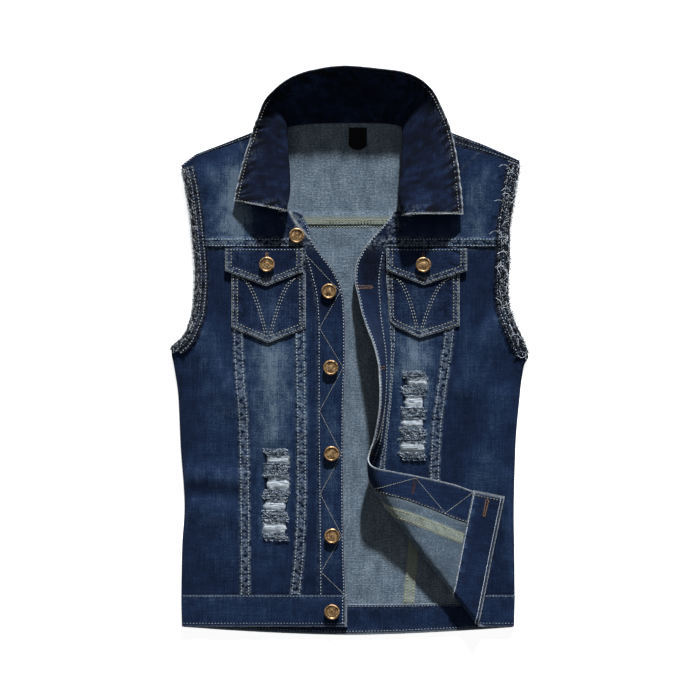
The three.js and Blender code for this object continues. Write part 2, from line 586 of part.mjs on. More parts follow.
/** A front's waistband. Its cross lines on the right follow the slanting roll. */
function makeFrontBand(side) {
  const isLeft = side === 'left';
  const rows = isLeft ? [FRONT_HEM_Y, BAND_SEAM_Y] : heightsBetween(FRONT_HEM_Y, BAND_SEAM_Y, 14);
  const vs = rows.map((_, i) => i);
  const overlap = 1.5; // the band's end stands out past the front edge
  const rollAt = (y) => lerp(ROLL_HEM.x, ROLL_EDGE.x, (y - ROLL_HEM.y) / (ROLL_EDGE.y - ROLL_HEM.y));
  const crossLines = isLeft
    ? steps(12).map((t) => (y) => lerp(leftOutline(y), leftEdge(BAND_SEAM_Y) + overlap, t))
    : [
      ...steps(5).map((t) => (y) => lerp(rightEdge(BAND_SEAM_Y) - overlap, rollAt(y) - ROLL_REACH, t)),
      ...steps(11).slice(1).map((t) => (y) => rollAt(y) + lerp(-ROLL_REACH, ROLL_REACH, t)),
      ...steps(3).slice(1).map((t) => (y) => lerp(rollAt(y) + ROLL_REACH, rightOutline(y), t)),
    ];
  const surface = isLeft ? leftFront : rightFront;
  add(`waistband_${side}`, laidWall(crossLines.map((_, i) => i), vs, surface, (u, v) => {
    const y = rows[v] - (v === rows.length - 1 ? SEAM_GAP : 0);
    return { x: crossLines[u](y), y };
  }, { cloth: BAND_CLOTH }), indigo);
}

/** The lower edge of the back yoke's strip over a shoulder, straight from point to point. */
function shoulderEdge(side, x) {
  const points = SHOULDER_POINTS[side];
  const next = points.findIndex((point, i) => i > 0 && (point.x > x || i === points.length - 1));
  const [a, b] = [points[next - 1], points[next]];
  return lerp(a.y - a.wrap, b.y - b.wrap, (x - a.x) / (b.x - a.x));
}

/** A front yoke: from its seam up to the shoulder, between the armhole and the placket and neck. */
function makeYoke(side) {
  const isLeft = side === 'left';
  const [outline, placket] = isLeft ? [leftOutline, leftPlacket] : [rightOutline, rightPlacket];
  const shoulder = isLeft ? LEFT_SHOULDER : RIGHT_SHOULDER;
  const surface = isLeft ? leftFront : rightFront;
  const sign = isLeft ? -1 : 1;
  const placketTop = PLACKET_TOP_ROWS[PLACKET_TOP_ROWS.length - 1];
  const fromY = YOKE_SEAM_Y + SEAM_GAP / 2;
  const armhole = (v) => {
    const y = lerp(fromY, shoulder.tip.y, v);
    return { x: lerp(outline(y), shoulder.tip.x, v ** 3), y };
  };
  const turn = (placketTop - fromY) / (shoulder.neck.y - fromY);
  const neck = (v) => {
    const y = lerp(fromY, shoulder.neck.y, v);
    const low = placket(Math.min(y, placketTop)) + sign * SEAM_GAP;
    return { x: y < placketTop ? low : lerp(low, shoulder.neck.x, (v - turn) / (1 - turn)), y };
  };
  const placketRows = PLACKET_TOP_ROWS.slice(1, -1).map((y) => (y - fromY) / (shoulder.neck.y - fromY));
  const rowsAbove = [0.42, 0.56, 0.7, 0.85, 1];
  const vs = [0, ...placketRows, turn, ...rowsAbove];
  add(`front_${side}_yoke`, laidWall(steps(8), vs, surface, (u, v) => {
    const [a, b] = [armhole(v), neck(v)];
    const [x, y] = [lerp(a.x, b.x, u), lerp(a.y, b.y, u)];
    const top = shoulderEdge(side, lerp(shoulder.tip.x, shoulder.neck.x, u)) - SHOULDER_GAP;
    return { x, y: y + (top - lerp(shoulder.tip.y, shoulder.neck.y, u)) * v ** 4 };
  }, { raised: (u, v) => v <= placketRows[0] + 1e-6 }), indigo);
}

/** A five-cornered patch with a pointed lower edge, laid on a front. */
function pointedPatch(shape, lift, cloth, surface, columns, rows) {
  const half = (shape.tipX - shape.left) / (shape.right - shape.left);
  const far = steps(columns).slice(1).map((u) => lerp(half, 1, u));
  const us = [...steps(columns).map((u) => u * half), ...far];
  const low = (u) => (u < half
    ? lerp(shape.cornerLeftY, shape.tipY, u / half)
    : lerp(shape.tipY, shape.cornerRightY, (u - half) / (1 - half)));
  return laidWall(us, steps(rows), surface, (u, v) => ({
    x: lerp(shape.left, shape.right, u), y: lerp(low(u), shape.top, v),
  }), { cloth, lift });
}

function makePocket(side) {
  const surface = side === 'left' ? leftFront : rightFront;
  add(`pocket_${side}`, pointedPatch(POCKETS[side], POCKET_LIFT, POCKET_CLOTH, surface, 5, 6), indigo);
  add(`pocket_flap_${side}`, pointedPatch(FLAPS[side], FLAP_PATCH_LIFT, FLAP_CLOTH, surface, 5, 3), indigo);
}

/** The weft left across a worn window: a small sheet under it, slit between the bundles. */
function makeWeft(side) {
  const surface = side === 'left' ? leftFront : rightFront;
  const lift = -(DENIM / 2 + 2 * SEAM_GAP + WEFT_CLOTH / 2);
  (side === 'left' ? WEAR_LEFT : WEAR_RIGHT).forEach((window, i) => {
    const sheet = {
      left: window.left - WEFT_MARGIN,
      right: window.right + WEFT_MARGIN,
      top: window.top + 1,
      bottom: window.bottom - 1,
    };
    let weft = toSolid(laidWall(steps(4), steps(2), surface, (u, v) => ({
      x: lerp(sheet.left, sheet.right, u), y: lerp(sheet.bottom, sheet.top, v),
    }), { cloth: WEFT_CLOTH, lift }));
    for (let y = window.bottom + WEFT_PITCH / 2; y < window.top - WEFT_SLOT; y += WEFT_PITCH) {
      weft = weft.subtract(cutter({ left: window.left, right: window.right, bottom: y, top: y + WEFT_SLOT }));
    }
    add(`weft_${side}_${i + 1}`, toGeometry(weft), weftWhite);
  });
}

/** The frayed strip that follows an armhole, on top of the yoke and the side panel. */
function makeArmholeTrim(side) {
  const isLeft = side === 'left';
  const outline = isLeft ? leftOutline : rightOutline;
  const sign = isLeft ? 1 : -1;
  const surface = isLeft ? leftFront : rightFront;
  const heights = TRIM_HEIGHTS[side];
  const edgeAt = (y) => new THREE.Vector2(outline(y), y);
  const inward = (y) => {
    const run = edgeAt(y + 3).sub(edgeAt(y - 3)).normalize();
    return new THREE.Vector2(run.y, -run.x).multiplyScalar(sign);
  };
  const lift = DENIM / 2 + FELL_RISE + SEAM_GAP + TRIM_CLOTH / 2;
  add(`armhole_trim_${side}`, laidWall([0, 0.3, 0.65, 1], heights.map((_, i) => i), surface, (u, i) => {
    const y = heights[i];
    const place = edgeAt(y).addScaledVector(inward(y), lerp(-TRIM_OVERHANG, TRIM_WIDTH - TRIM_OVERHANG, u));
    return { x: place.x, y: place.y };
  }, { cloth: TRIM_CLOTH, lift }), fray);
}

/** The back yoke lies flat, and folds over at each shoulder to meet the front yoke. */
function makeBackYoke() {
  const top = BACK_TOP;
  const last = top[top.length - 1].x;
  const seamY = BACK_YOKE_SEAM_Y + SEAM_GAP / 2;
  const seamX = (x) => lerp(leftOutline(seamY), rightOutline(seamY), (x - top[0].x) / (last - top[0].x));
  const fellRow = 0.085; // up to this row the seam is felled
  const flatRows = [0, fellRow, 0.1, 0.4, 0.7, 0.9];
  const rows = [...flatRows, ...Array.from({ length: WRAP_TURN + 2 }, (_, i) => 1 + i)];
  const place = (i, row) => {
    const { x, y, wrap } = top[i];
    const flatTop = wrap > 0 ? y - WRAP_REACH : y;
    if (row <= 1) {
      const px = lerp(seamX(x), x, row);
      const py = lerp(seamY, flatTop, row);
      return back(px, py);
    }
    const low = back(x, flatTop).z;
    const radius = (frontHeight(x, flatTop) - low) / 2;
    const step = row - 1;
    if (wrap === 0) return new THREE.Vector3(x, flatTop + 0.1 * step, low);
    if (step <= WRAP_TURN) {
      const turn = (Math.PI * step) / WRAP_TURN;
      return new THREE.Vector3(x, flatTop + radius * Math.sin(turn), low + radius * (1 - Math.cos(turn)));
    }
    return new THREE.Vector3(x, y - wrap, frontHeight(x, y - wrap));
  };
  const us = top.map((_, i) => i);
  const point = (i, row) => {
    const j = rows.indexOf(row);
    const across = place(Math.min(i + 1, us.length - 1), row).sub(place(Math.max(i - 1, 0), row));
    const along = place(i, rows[Math.min(j + 1, rows.length - 1)]).sub(place(i, rows[Math.max(j - 1, 0)]));
    return { middle: place(i, row), normal: across.cross(along).normalize() };
  };
  add('back_yoke', wall(us, rows, point, (i, row) => {
    const fell = row <= fellRow ? FELL_RISE * (1 - rim(seamX(top[i].x), seamY)) : 0;
    return { below: DENIM / 2, above: DENIM / 2 + fell };
  }), wrongSide);
}

/** The back below its yoke: a centre, two sides and its part of the waistband, all wrong side up. */
function makeBack() {
  const leftSeam = backSeam(-1);
  const rightSeam = backSeam(1);
  const top = BACK_YOKE_SEAM_Y - SEAM_GAP / 2;
  const panel = (name, left, right, us, raised) => add(name, laidWall(us, steps(14), back, (u, v) => {
    const foot = backBandSeam(0);
    const low = backBandSeam(lerp(left(foot), right(foot), u)) + SEAM_GAP / 2;
    const y = lerp(low, top, v);
    return { x: lerp(left(y) + SEAM_GAP / 2, right(y) - SEAM_GAP / 2, u), y };
  }, { raised }), wrongSide);

  panel('back_centre_panel', leftSeam, rightSeam, steps(5));
  const fell = 0.907; // beyond this share of a side panel's width the seam is felled
  const sideUs = [0, 0.04, 0.1, 0.35, 0.65, 0.9, fell, 1];
  const mirrored = sideUs.map((u) => 1 - u).reverse();
  panel('back_left_side_panel', leftOutline, leftSeam, sideUs, (u) => u >= fell - 1e-6);
  panel('back_right_side_panel', rightSeam, rightOutline, mirrored, (u) => u <= 1 - fell + 1e-6);

  add('back_waistband', laidWall(steps(14), steps(1), backBand, (u, v) => {
    const x = lerp(BACK_BAND.left, BACK_BAND.right, u);
    return { x, y: lerp(backHem(x), backBandSeam(x) - SEAM_GAP / 2, v) };
  }, { cloth: BAND_CLOTH }), indigo);
}

/** The collar: its back stands up behind the neck, and its two ends are turned down on the fronts. */
function makeCollar() {
  const lineAt = (point) => new THREE.CatmullRomCurve3(COLLAR_SECTIONS.map(point), false, 'catmullrom', 0.5);
  const neckLine = lineAt(({ neck }) => new THREE.Vector3(...neck));
  const rollLine = lineAt(({ roll }) => new THREE.Vector3(...roll));
  const edgeLine = lineAt(({ edge }) => new THREE.Vector3(...edge));
  const crownLine = lineAt(({ crown }) => new THREE.Vector3(0, 0, crown));
  const section = (u) => {
    const [neck, roll, edge] = [neckLine, rollLine, edgeLine].map((line) => line.getPoint(u));
    const crownHeight = crownLine.getPoint(u).z;
    const fallHeight = lerp(crownHeight, edge.z, FALL_HEIGHT_SHARE) + FALL_ROUND;
    const crown = roll.clone().lerp(edge, CROWN_SHARE).setZ(crownHeight);
    const fall = roll.clone().lerp(edge, FALL_SHARE).setZ(fallHeight);
    return new THREE.CatmullRomCurve3([neck, roll, crown, fall, edge], false, 'centripetal');
  };
  const [stepU, stepV] = [0.004, 0.02]; // for the facing
  const point = (u, v) => {
    const here = section(u);
    const [u0, u1] = [clamp(u - stepU, 0, 1), clamp(u + stepU, 0, 1)];
    const [v0, v1] = [clamp(v - stepV, 0, 1), clamp(v + stepV, 0, 1)];
    const around = section(u1).getPoint(v).sub(section(u0).getPoint(v));
    const out = here.getPoint(v1).sub(here.getPoint(v0));
    return { middle: here.getPoint(v), normal: out.cross(around).normalize() };
  };
  const half = COLLAR_CLOTH / 2;
  const thickness = () => ({ below: half, above: half });
  add('collar', wall(steps(COLLAR_STEPS), COLLAR_ROWS, point, thickness), darkIndigo);
}

/** A pressed metal button: a rimmed cap with a shallow boss, on a short shank. */
function buttonGeometry() {
  const profile = [
    [0, 0],
    [SHANK_RADIUS, 0],
    [SHANK_RADIUS, SHANK_HEIGHT],
    [BUTTON_RADIUS - 0.8, SHANK_HEIGHT + 0.2],
    [BUTTON_RADIUS, SHANK_HEIGHT + 1.2],
    [BUTTON_RADIUS - 0.5, BUTTON_HEIGHT - 0.3],
    [BUTTON_RADIUS - RIM_WIDE, BUTTON_HEIGHT],
    [BUTTON_RADIUS - DISH_WIDE, BUTTON_HEIGHT - 0.9],
    [BOSS_RADIUS, BUTTON_HEIGHT - 0.4],
    [0, BUTTON_HEIGHT - 0.1],
  ].map(([r, h]) => new THREE.Vector2(r, h));
  return new THREE.LatheGeometry(profile, BUTTON_SIDES).rotateX(Math.PI / 2);
}

function addButton(name, surface, { x, y }, seat) {
  const mesh = new THREE.Mesh(buttonGeometry(), copper);
  const normal = facing(surface, x, y);
  mesh.position.copy(surface(x, y)).addScaledVector(normal, seat + SEAM_GAP);
  mesh.quaternion.setFromUnitVectors(new THREE.Vector3(0, 0, 1), normal);
  mesh.name = name;
  vest.add(mesh);
}

function makeButtons() {
  const placketSeat = PLACKET_CLOTH / 2;
  const bandSeat = BAND_CLOTH / 2;
  const yokeSeat = DENIM / 2 + FELL_RISE;
  FRONT_BUTTONS.forEach((place, i) => {
    const seat = place.y < BAND_SEAM_Y ? bandSeat : place.y > YOKE_SEAM_Y ? yokeSeat : placketSeat;
    addButton(`button_${i + 1}`, leftFront, place, seat);
  });
  const flapSeat = FLAP_PATCH_LIFT + FLAP_CLOTH / 2;
  addButton('flap_button_left', leftFront, FLAP_BUTTONS.left, flapSeat);
  addButton('flap_button_right', rightFront, FLAP_BUTTONS.right, flapSeat);
}

/** A small loop label, hanging from the neck seam on the inside of the back yoke. */
function makeLabel() {
  const lift = DENIM / 2 + SEAM_GAP + LABEL_CLOTH / 2;
  add('neck_label', laidWall(steps(4), steps(3), back, (u, v) => {
    const sag = (1 - v) * LABEL.sag * (2 * u - 1) ** 2;
    return { x: lerp(LABEL.left, LABEL.right, u), y: lerp(LABEL.bottom + sag, LABEL.top, v) };
  }, { cloth: LABEL_CLOTH, lift }), labelCloth);
}

makeBackYoke();
makeBack();
for (const side of ['left', 'right']) {
  makeFront(side);
  makeFrontBand(side);
  makeYoke(side);
  makePocket(side);
  makeWeft(side);
  makeArmholeTrim(side);
}
makeCollar();
makeButtons();
makeLabel();

// The plan's numbers are measured from the middle of the picture; this centres the finished part
for (const mesh of vest.children) mesh.position.add(new THREE.Vector3(CENTRING.x, CENTRING.y, 0));

export default vest;
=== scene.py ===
# %% [markdown]
# # A denim vest, laid flat
#
# The real vest is cut from one cloth, indigo denim: a twill whose blue warp shows on the outside
# and whose pale weft shows on the inside. It is sewn with flat-felled seams, washed until the
# high places turn pale, and its armholes are left raw. Here it lies on a table, open, with one
# lower corner turned back. This lesson rebuilds it piece by piece: each cut piece is laid out on
# a plan, draped by a function, given a thickness, and then sewn, frayed and worn.
#
# The imported model gives the frame: every node is a cut piece or a button at its real place.

# %% Load the imported model
import math

import bmesh
import bpy
import mathutils
import numpy as np
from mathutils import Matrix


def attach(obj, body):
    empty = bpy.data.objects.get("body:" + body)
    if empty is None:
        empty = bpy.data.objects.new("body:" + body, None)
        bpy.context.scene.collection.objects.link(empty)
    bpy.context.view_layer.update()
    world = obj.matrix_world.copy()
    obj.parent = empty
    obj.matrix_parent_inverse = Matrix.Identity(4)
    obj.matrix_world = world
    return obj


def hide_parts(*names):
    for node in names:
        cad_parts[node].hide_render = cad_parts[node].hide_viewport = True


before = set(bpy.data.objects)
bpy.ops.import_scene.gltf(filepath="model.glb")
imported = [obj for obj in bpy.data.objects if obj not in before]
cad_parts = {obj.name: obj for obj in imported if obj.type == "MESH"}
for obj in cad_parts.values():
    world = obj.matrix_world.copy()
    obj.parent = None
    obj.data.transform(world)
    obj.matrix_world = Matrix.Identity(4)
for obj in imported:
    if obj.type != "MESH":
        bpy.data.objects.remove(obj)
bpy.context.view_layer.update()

# %% [markdown]
# ## The plan
#
# A pattern maker works on flat paper, in millimetres, and so does this script. Each seam is a
# curve that says how far to the side it runs at each height. A smooth curve through a few rows is
# enough, as long as it never swings past them, so the slopes between rows are averaged in a way
# that keeps it level at each turning point.

# %% Sizes and curves of the plan
DENIM = 1.2
BAND_CLOTH = 3.0
COLLAR_CLOTH = 2.4
PLACKET_CLOTH = 1.8
POCKET_CLOTH = 1.2
FLAP_CLOTH = 2.0
TRIM_CLOTH = 1.0
FELL_RISE = 1.0
FELL_WIDTH = 14
SEAM_GAP = 0.3
POCKET_LIFT = DENIM / 2 + FELL_RISE + SEAM_GAP + POCKET_CLOTH / 2
FLAP_PATCH_LIFT = POCKET_LIFT + POCKET_CLOTH / 2 + SEAM_GAP + FLAP_CLOTH / 2
CENTRING = np.array([0.5, 3.2, 0.0])  # from the plan's middle to the finished part's

BAND_SEAM_Y = -313
FRONT_HEM_Y = -354
YOKE_SEAM_Y = 131
BACK_YOKE_SEAM_Y = 161


def through(rows):
    """A smooth curve through rows of (height, value) that never overshoots them."""
    at, value = np.array(sorted(rows), float).T
    slope = np.diff(value) / np.diff(at)
    product = slope[:-1] * slope[1:]
    total = np.where(product > 0, slope[:-1] + slope[1:], 1)
    inner = np.where(product > 0, 2 * product / total, 0)
    tangent = np.concatenate([slope[:1], inner, slope[-1:]])

    def curve(y):
        y = np.asarray(y, float)
        i = np.clip(np.searchsorted(at, y, side="right") - 1, 0, len(at) - 2)
        h = at[i + 1] - at[i]
        t = (y - at[i]) / h
        rise = (2 * t**3 - 3 * t**2 + 1) * value[i] + (t**3 - 2 * t**2 + t) * h * tangent[i]
        rise = rise + (3 * t**2 - 2 * t**3) * value[i + 1] + (t**3 - t**2) * h * tangent[i + 1]
        below = value[0] + (y - at[0]) * tangent[0]
        above = value[-1] + (y - at[-1]) * tangent[-1]
        return np.where(y <= at[0], below, np.where(y >= at[-1], above, rise))

    return curve


# Rows of (height, distance to the side)
left_outline = through([
    (-356, -215), (-313, -216), (-250, -215), (-201, -212), (-124, -217), (-60, -220), (-18, -226),
    (-2, -229), (5, -226.5), (15, -215), (27, -208.5), (53, -200), (94, -197.5), (145, -201),
    (205, -208.5), (237, -216),
])
right_outline = through([
    (-356, 210), (-313, 211), (-250, 210.5), (-218, 210), (-126, 212), (-60, 217.5), (-20, 223),
    (-8, 228.5), (0, 226), (17, 219), (34, 211), (56, 203.5), (80, 201.5), (121, 203.5),
    (153, 203.5), (185, 208), (242, 218),
])
left_outer = through([
    (-313, -127), (-260, -127), (-182, -127.5), (-84, -129.5), (-38, -133.5), (21, -136), (131, -137),
])
left_inner = through([(-313, -77), (-260, -72), (-182, -69), (-77, -69.5), (21, -71), (131, -72)])
left_placket = through([
    (-354, -39), (-313, -39), (-182, -40), (-77, -41), (21, -41), (63, -43), (100, -51),
    (131, -62), (155, -79), (178, -92),
])
left_edge = through([
    (-354, -4), (-313, -5), (-260, -7), (-182, -8), (-77, -7.5), (-8, -5.5), (25, -5.5), (63, -7),
    (83, -11.5), (102, -21), (122, -36), (140, -48), (152, -51), (166, -57), (181, -66),
])
right_outer = through([
    (-313, 125), (-260, 116), (-200, 105), (-159, 101), (-131, 102), (-97, 104), (-62, 108.5),
    (-22, 114), (25, 120), (131, 128),
])
right_inner = through([
    (-313, 63), (-235, 49), (-200, 46), (-154, 45), (-108, 47), (-85, 49), (-62, 51.5), (-34, 54),
    (25, 57.5), (131, 61),
])
right_placket = through([
    (-354, 37), (-311, 35), (-259, 26), (-225, 21), (-154, 18), (-62, 23), (25, 30), (80, 36),
    (131, 45), (150, 58), (171, 80),
])
right_edge = through([
    (-354, 0), (-320, -5), (-282, -10), (-215, -11), (-154, -10), (-62, -7), (25, -4), (65, -1),
    (93, 4), (110, 7), (122, 13), (140, 25), (153, 37), (171, 52), (178, 56),
])
# Rows of (height, how far the free edge of the right front is pushed aside) and of its rise
edge_push = through([
    (-354, 0), (-230, 0), (-190, 4), (-150, 22), (-110, 40), (-62, 45), (-26, 43), (3, 36), (29, 25),
    (48, 17), (65, 12), (93, 2), (131, 0), (171, 0), (300, 0),
])
edge_rise = through([
    (-354, 0), (-230, 0), (-190, 2), (-150, 8), (-110, 26), (-62, 34), (-26, 32), (3, 27), (29, 20),
    (48, 15), (65, 11), (93, 7), (131, 3), (171, 0), (300, 0),
])
# The top of the back: (x, y, how far it wraps over the shoulder)
BACK_TOP = np.array([
    (-215.5, 238, 4.5), (-197, 252, 4.5), (-164, 264.5, 5), (-128, 279, 7), (-90, 296, 9), (-84, 296, 0),
    (-60, 294, 0), (-20, 293.5, 0), (20, 293.5, 0), (54, 294, 0), (76, 297, 0), (82, 297, 21),
    (129, 280, 17), (174, 263, 11.5), (200, 251.5, 8), (217, 244, 6),
])
SHOULDERS = {
    "left": {"tip": (-214.5, 233), "neck": (-88, 287.5)},
    "right": {"tip": (211, 239.5), "neck": (76, 277)},
}
print("waist of the laid vest:", float(right_outline(-201) - left_outline(-201)), "mm")

# %% [markdown]
# ## How the cloth lies
#
# A front lies about five millimetres above the table, over the back and the seams. Beside the
# outline the two layers close on each other. Each large fold of the photo is a soft ridge or
# trough from one point to another. The turned-back corner rolls over a slanting line: before the
# line the cloth is flat, on it the cloth follows a half circle, and past it it lies face down on
# itself. A cloth simulation could find such shapes, but it would also move the seams, and here
# every seam has a known place, so the drape is a function from the plan to the laid cloth.

# %% The drape
FRONT_LIFT = 5.4
RIM_WIDTH = 8
SHOULDER_WIDTH = 26
FRONT_DROP = 1.8
BAND_DROP = 0.5
BACK_RISE = 1.5
ROLL_HEM = np.array([164.0, -355.0])
ROLL_EDGE = np.array([0.0, -154.0])
ROLL_RADIUS_HEM = 5.4
ROLL_RADIUS_EDGE = 15
FLAP_LIFT = 11.4
FLAP_SETTLE = 62
# Rows of (x1, y1, x2, y2, width, rise)
FOLDS = [
    (-212, -176, -150, -186, 9, -1.3), (-208, -160, -150, -166, 11, 3.0), (-205, -206, -150, -214, 12, 2.2),
    (-195, 20, -150, -60, 16, 3.2), (-176, -60, -158, -290, 17, 2.6), (-100, -20, -98, -110, 15, 2.4),
    (-24, 20, -26, -290, 13, 2.2), (-180, 215, -170, 150, 15, 3.0), (169, 42, 128, -22, 7, -1.3),
    (186, 30, 150, -50, 13, 4.0), (192, -60, 165, -190, 14, 3.2), (200, -160, 203, -290, 6, 2.2),
    (86, -20, 84, -120, 14, 2.6), (178, 215, 170, 150, 15, 3.0),
]


def ramp(lo, hi, v):
    t = np.clip((v - lo) / (hi - lo), 0, 1)
    return t * t * (3 - 2 * t)


def mix(a, b, t):
    return a + (b - a) * t


def bell(v, width):
    """1 at 0, falling smoothly on both sides to nearly 0 at twice the width."""
    return np.exp(-(v / width) ** 2)


def unit(v):
    return v / np.linalg.norm(v, axis=-1, keepdims=True)


def away_from(x, y, a, b):
    """Distance from points to the straight run from a to b."""
    dx, dy = b[0] - a[0], b[1] - a[1]
    along = np.clip(((x - a[0]) * dx + (y - a[1]) * dy) / (dx * dx + dy * dy), 0, 1)
    return np.hypot(x - a[0] - along * dx, y - a[1] - along * dy)


def runs_through(points):
    return list(zip(points[:-1], points[1:]))


side_heights = np.linspace(-356, 237, 50)
OUTLINE_RUNS = runs_through([(float(left_outline(y)), y) for y in side_heights])
OUTLINE_RUNS += runs_through([(float(right_outline(y)), y) for y in side_heights])
SHOULDER_RUNS = runs_through([tuple(p[:2]) for p in BACK_TOP[:5]])
SHOULDER_RUNS += runs_through([tuple(p[:2]) for p in BACK_TOP[11:]])


def close_to(runs, width, x, y):
    """1 on the runs, falling to 0 at the given distance from them."""
    nearest = np.full(np.broadcast(x, y).shape, float(width))
    for a, b in runs:
        nearest = np.minimum(nearest, away_from(x, y, a, b))
    return 1 - ramp(0, width, nearest)


def fold_height(x, y):
    height = 0
    for x1, y1, x2, y2, width, rise in FOLDS:
        height = height + rise * np.exp(-0.5 * (away_from(x, y, (x1, y1), (x2, y2)) / width) ** 2)
    return height * ramp(BAND_SEAM_Y, BAND_SEAM_Y + 45, y)


def front_height(x, y):
    drop = mix(BAND_DROP, FRONT_DROP, ramp(BAND_SEAM_Y, BAND_SEAM_Y + 25, y))
    rim, shoulder = close_to(OUTLINE_RUNS, RIM_WIDTH, x, y), close_to(SHOULDER_RUNS, SHOULDER_WIDTH, x, y)
    closed = np.maximum(rim, shoulder)
    return FRONT_LIFT - drop * closed + fold_height(x, y) * (1 - closed)


def left_front(x, y):
    return np.stack([x, y, front_height(x, y)], -1)


def back(x, y):
    return np.stack([x, y, DENIM / 2 + BACK_RISE * close_to(OUTLINE_RUNS, RIM_WIDTH, x, y)], -1)


def back_band(x, y):
    return np.stack([x, y, np.full_like(x, BAND_CLOTH / 2)], -1)


roll_length = np.hypot(*(ROLL_EDGE - ROLL_HEM))
roll_along = (ROLL_EDGE - ROLL_HEM) / roll_length
roll_across = np.array([-roll_along[1], roll_along[0]])


def roll_place(x, y):
    """Distance across the line of the roll, and the roll's radius there."""
    along = (x - ROLL_HEM[0]) * roll_along[0] + (y - ROLL_HEM[1]) * roll_along[1]
    across = (x - ROLL_HEM[0]) * roll_across[0] + (y - ROLL_HEM[1]) * roll_across[1]
    return across, mix(ROLL_RADIUS_HEM, ROLL_RADIUS_EDGE, ramp(-20, roll_length + 30, along) ** 2.6)


def turned(x, y):
    """Millimetres of cloth past the start of the roll."""
    across, radius = roll_place(x, y)
    return across + math.pi * radius / 2


def right_front(x, y):
    across, radius = roll_place(x, y)
    length = math.pi * radius
    past = across + length / 2
    flat = mix(front_height(x, y), FRONT_LIFT, ramp(-35, 0, past))
    rolled = np.clip(past, 0, length)
    on_roll_reach = -length / 2 + radius * np.sin(rolled / radius)
    on_roll_height = FRONT_LIFT + radius * (1 - np.cos(rolled / radius))
    settled = mix(FRONT_LIFT + 2 * radius, FLAP_LIFT, ramp(0, FLAP_SETTLE, past - length))
    reach = np.where(past > length, -across, np.where(past > 0, on_roll_reach, across))
    height = np.where(past > length, settled, np.where(past > 0, on_roll_height, flat))
    shift = reach - across
    strip = np.clip((right_inner(y) - x) / (right_inner(y) - right_edge(y)), 0, 1.05)
    px = x + shift * roll_across[0] + edge_push(y) * strip
    py = y + shift * roll_across[1]
    return np.stack([px, py, height + edge_rise(y) * strip**1.2], -1)


def facing(surface, x, y, reach=0.5):
    """The way a laid surface faces at points of its plan."""
    across = surface(x + reach, y) - surface(x - reach, y)
    along = surface(x, y + reach) - surface(x, y - reach)
    return unit(np.cross(across, along))


corner = right_front(np.array(0.0), np.array(-354.0))
print("the hem corner comes to rest at", np.round(corner, 1).tolist(), "mm")

# %% [markdown]
# ## Small relief
#
# Washed denim is never flat. Seams shrink more than the cloth, so beside each seam it gathers in
# small slanting puckers a few millimetres apart, and between the seams it waves softly. Both are
# smooth noise here: a table of random heights from a fixed seed, read between its places.

# %% Noise and puckers
NOISE_TABLE = np.random.default_rng(11).uniform(-1, 1, (256, 256))


def noise(x, y, size, seed=0):
    """Smooth noise from -1 to 1 with features about size across."""
    u = np.asarray(x, float) / size + 640.37 + 17.1 * seed
    v = np.asarray(y, float) / size + 512.73 + 31.7 * seed
    i, j = np.floor(u).astype(int), np.floor(v).astype(int)
    fu, fv = ramp(0, 1, u - i), ramp(0, 1, v - j)
    corner_value = lambda a, b: NOISE_TABLE[(i + a) % 256, (j + b) % 256]
    low = mix(corner_value(0, 0), corner_value(1, 0), fu)
    high = mix(corner_value(0, 1), corner_value(1, 1), fu)
    return mix(low, high, fv)


PUCKER_STEP = 4.6
# Upright seams as (curve, side on which the seam is felled, or 0), and the heights of the level ones
YOKE_BAND_Y = YOKE_SEAM_Y + 6
LEFT_SEAMS = {
    "upright": [(left_outer, -1), (left_inner, 1), (left_placket, 0), (left_edge, 0)],
    "level": [YOKE_BAND_Y],
}
RIGHT_SEAMS = {
    "upright": [(right_outer, 1), (right_inner, -1), (right_placket, 0), (right_edge, 0)],
    "level": [YOKE_BAND_Y],
}
BAND_SEAMS = {"upright": [], "level": [BAND_SEAM_Y]}
YOKE_SEAMS = {
    "left": {"upright": [(left_placket, 0)], "level": [YOKE_BAND_Y]},
    "right": {"upright": [(right_placket, 0)], "level": [YOKE_BAND_Y]},
}


def seam_bands(x, y, seams):
    """How much each point belongs to an upright seam, and to a level one, from 0 to 1."""
    upright = np.zeros(np.broadcast(x, y).shape)
    for seam, way in seams["upright"]:
        away = x - seam(y)
        if way:
            inside = ramp(-1.5, 1, way * away) * ramp(FELL_WIDTH + 1.5, FELL_WIDTH - 1, way * away)
        else:
            inside = 0.3 * bell(away, 3)
        upright = np.maximum(upright, inside)
    nearest = np.min([np.abs(y - height) for height in seams["level"]], axis=0)
    return upright, bell(nearest, 7)


def puckers(x, y, seams):
    """Ridges and hollows beside the seams, from 1 to -1: slanting on upright seams."""
    upright, level = seam_bands(x, y, seams)
    slanting = np.tanh(2 * noise(0.35 * x, y + 0.45 * x, PUCKER_STEP, 3))
    standing = np.tanh(2 * noise(x + 0.3 * y, 0.3 * y, PUCKER_STEP, 4))
    return upright * slanting + 0.8 * level * standing


def relief(x, y, seams):
    """Small heights of the cloth: soft waves, and puckers beside the seams."""
    soft = 0.5 * noise(x, y, 34, 1) + 0.3 * noise(x, y, 15, 2) + 0.12 * noise(x, y, 6, 10)
    if not seams:
        return soft
    return soft + 0.42 * puckers(x, y, seams)


def laid(surface, x, y, lift, seams):
    """Points on a laid surface, lifted off its middle, and the way it faces there."""
    normal = facing(surface, x, y)
    height = lift + relief(x, y, seams)
    return surface(x, y) + normal * height[..., None], normal


print("pucker step:", PUCKER_STEP, "mm")
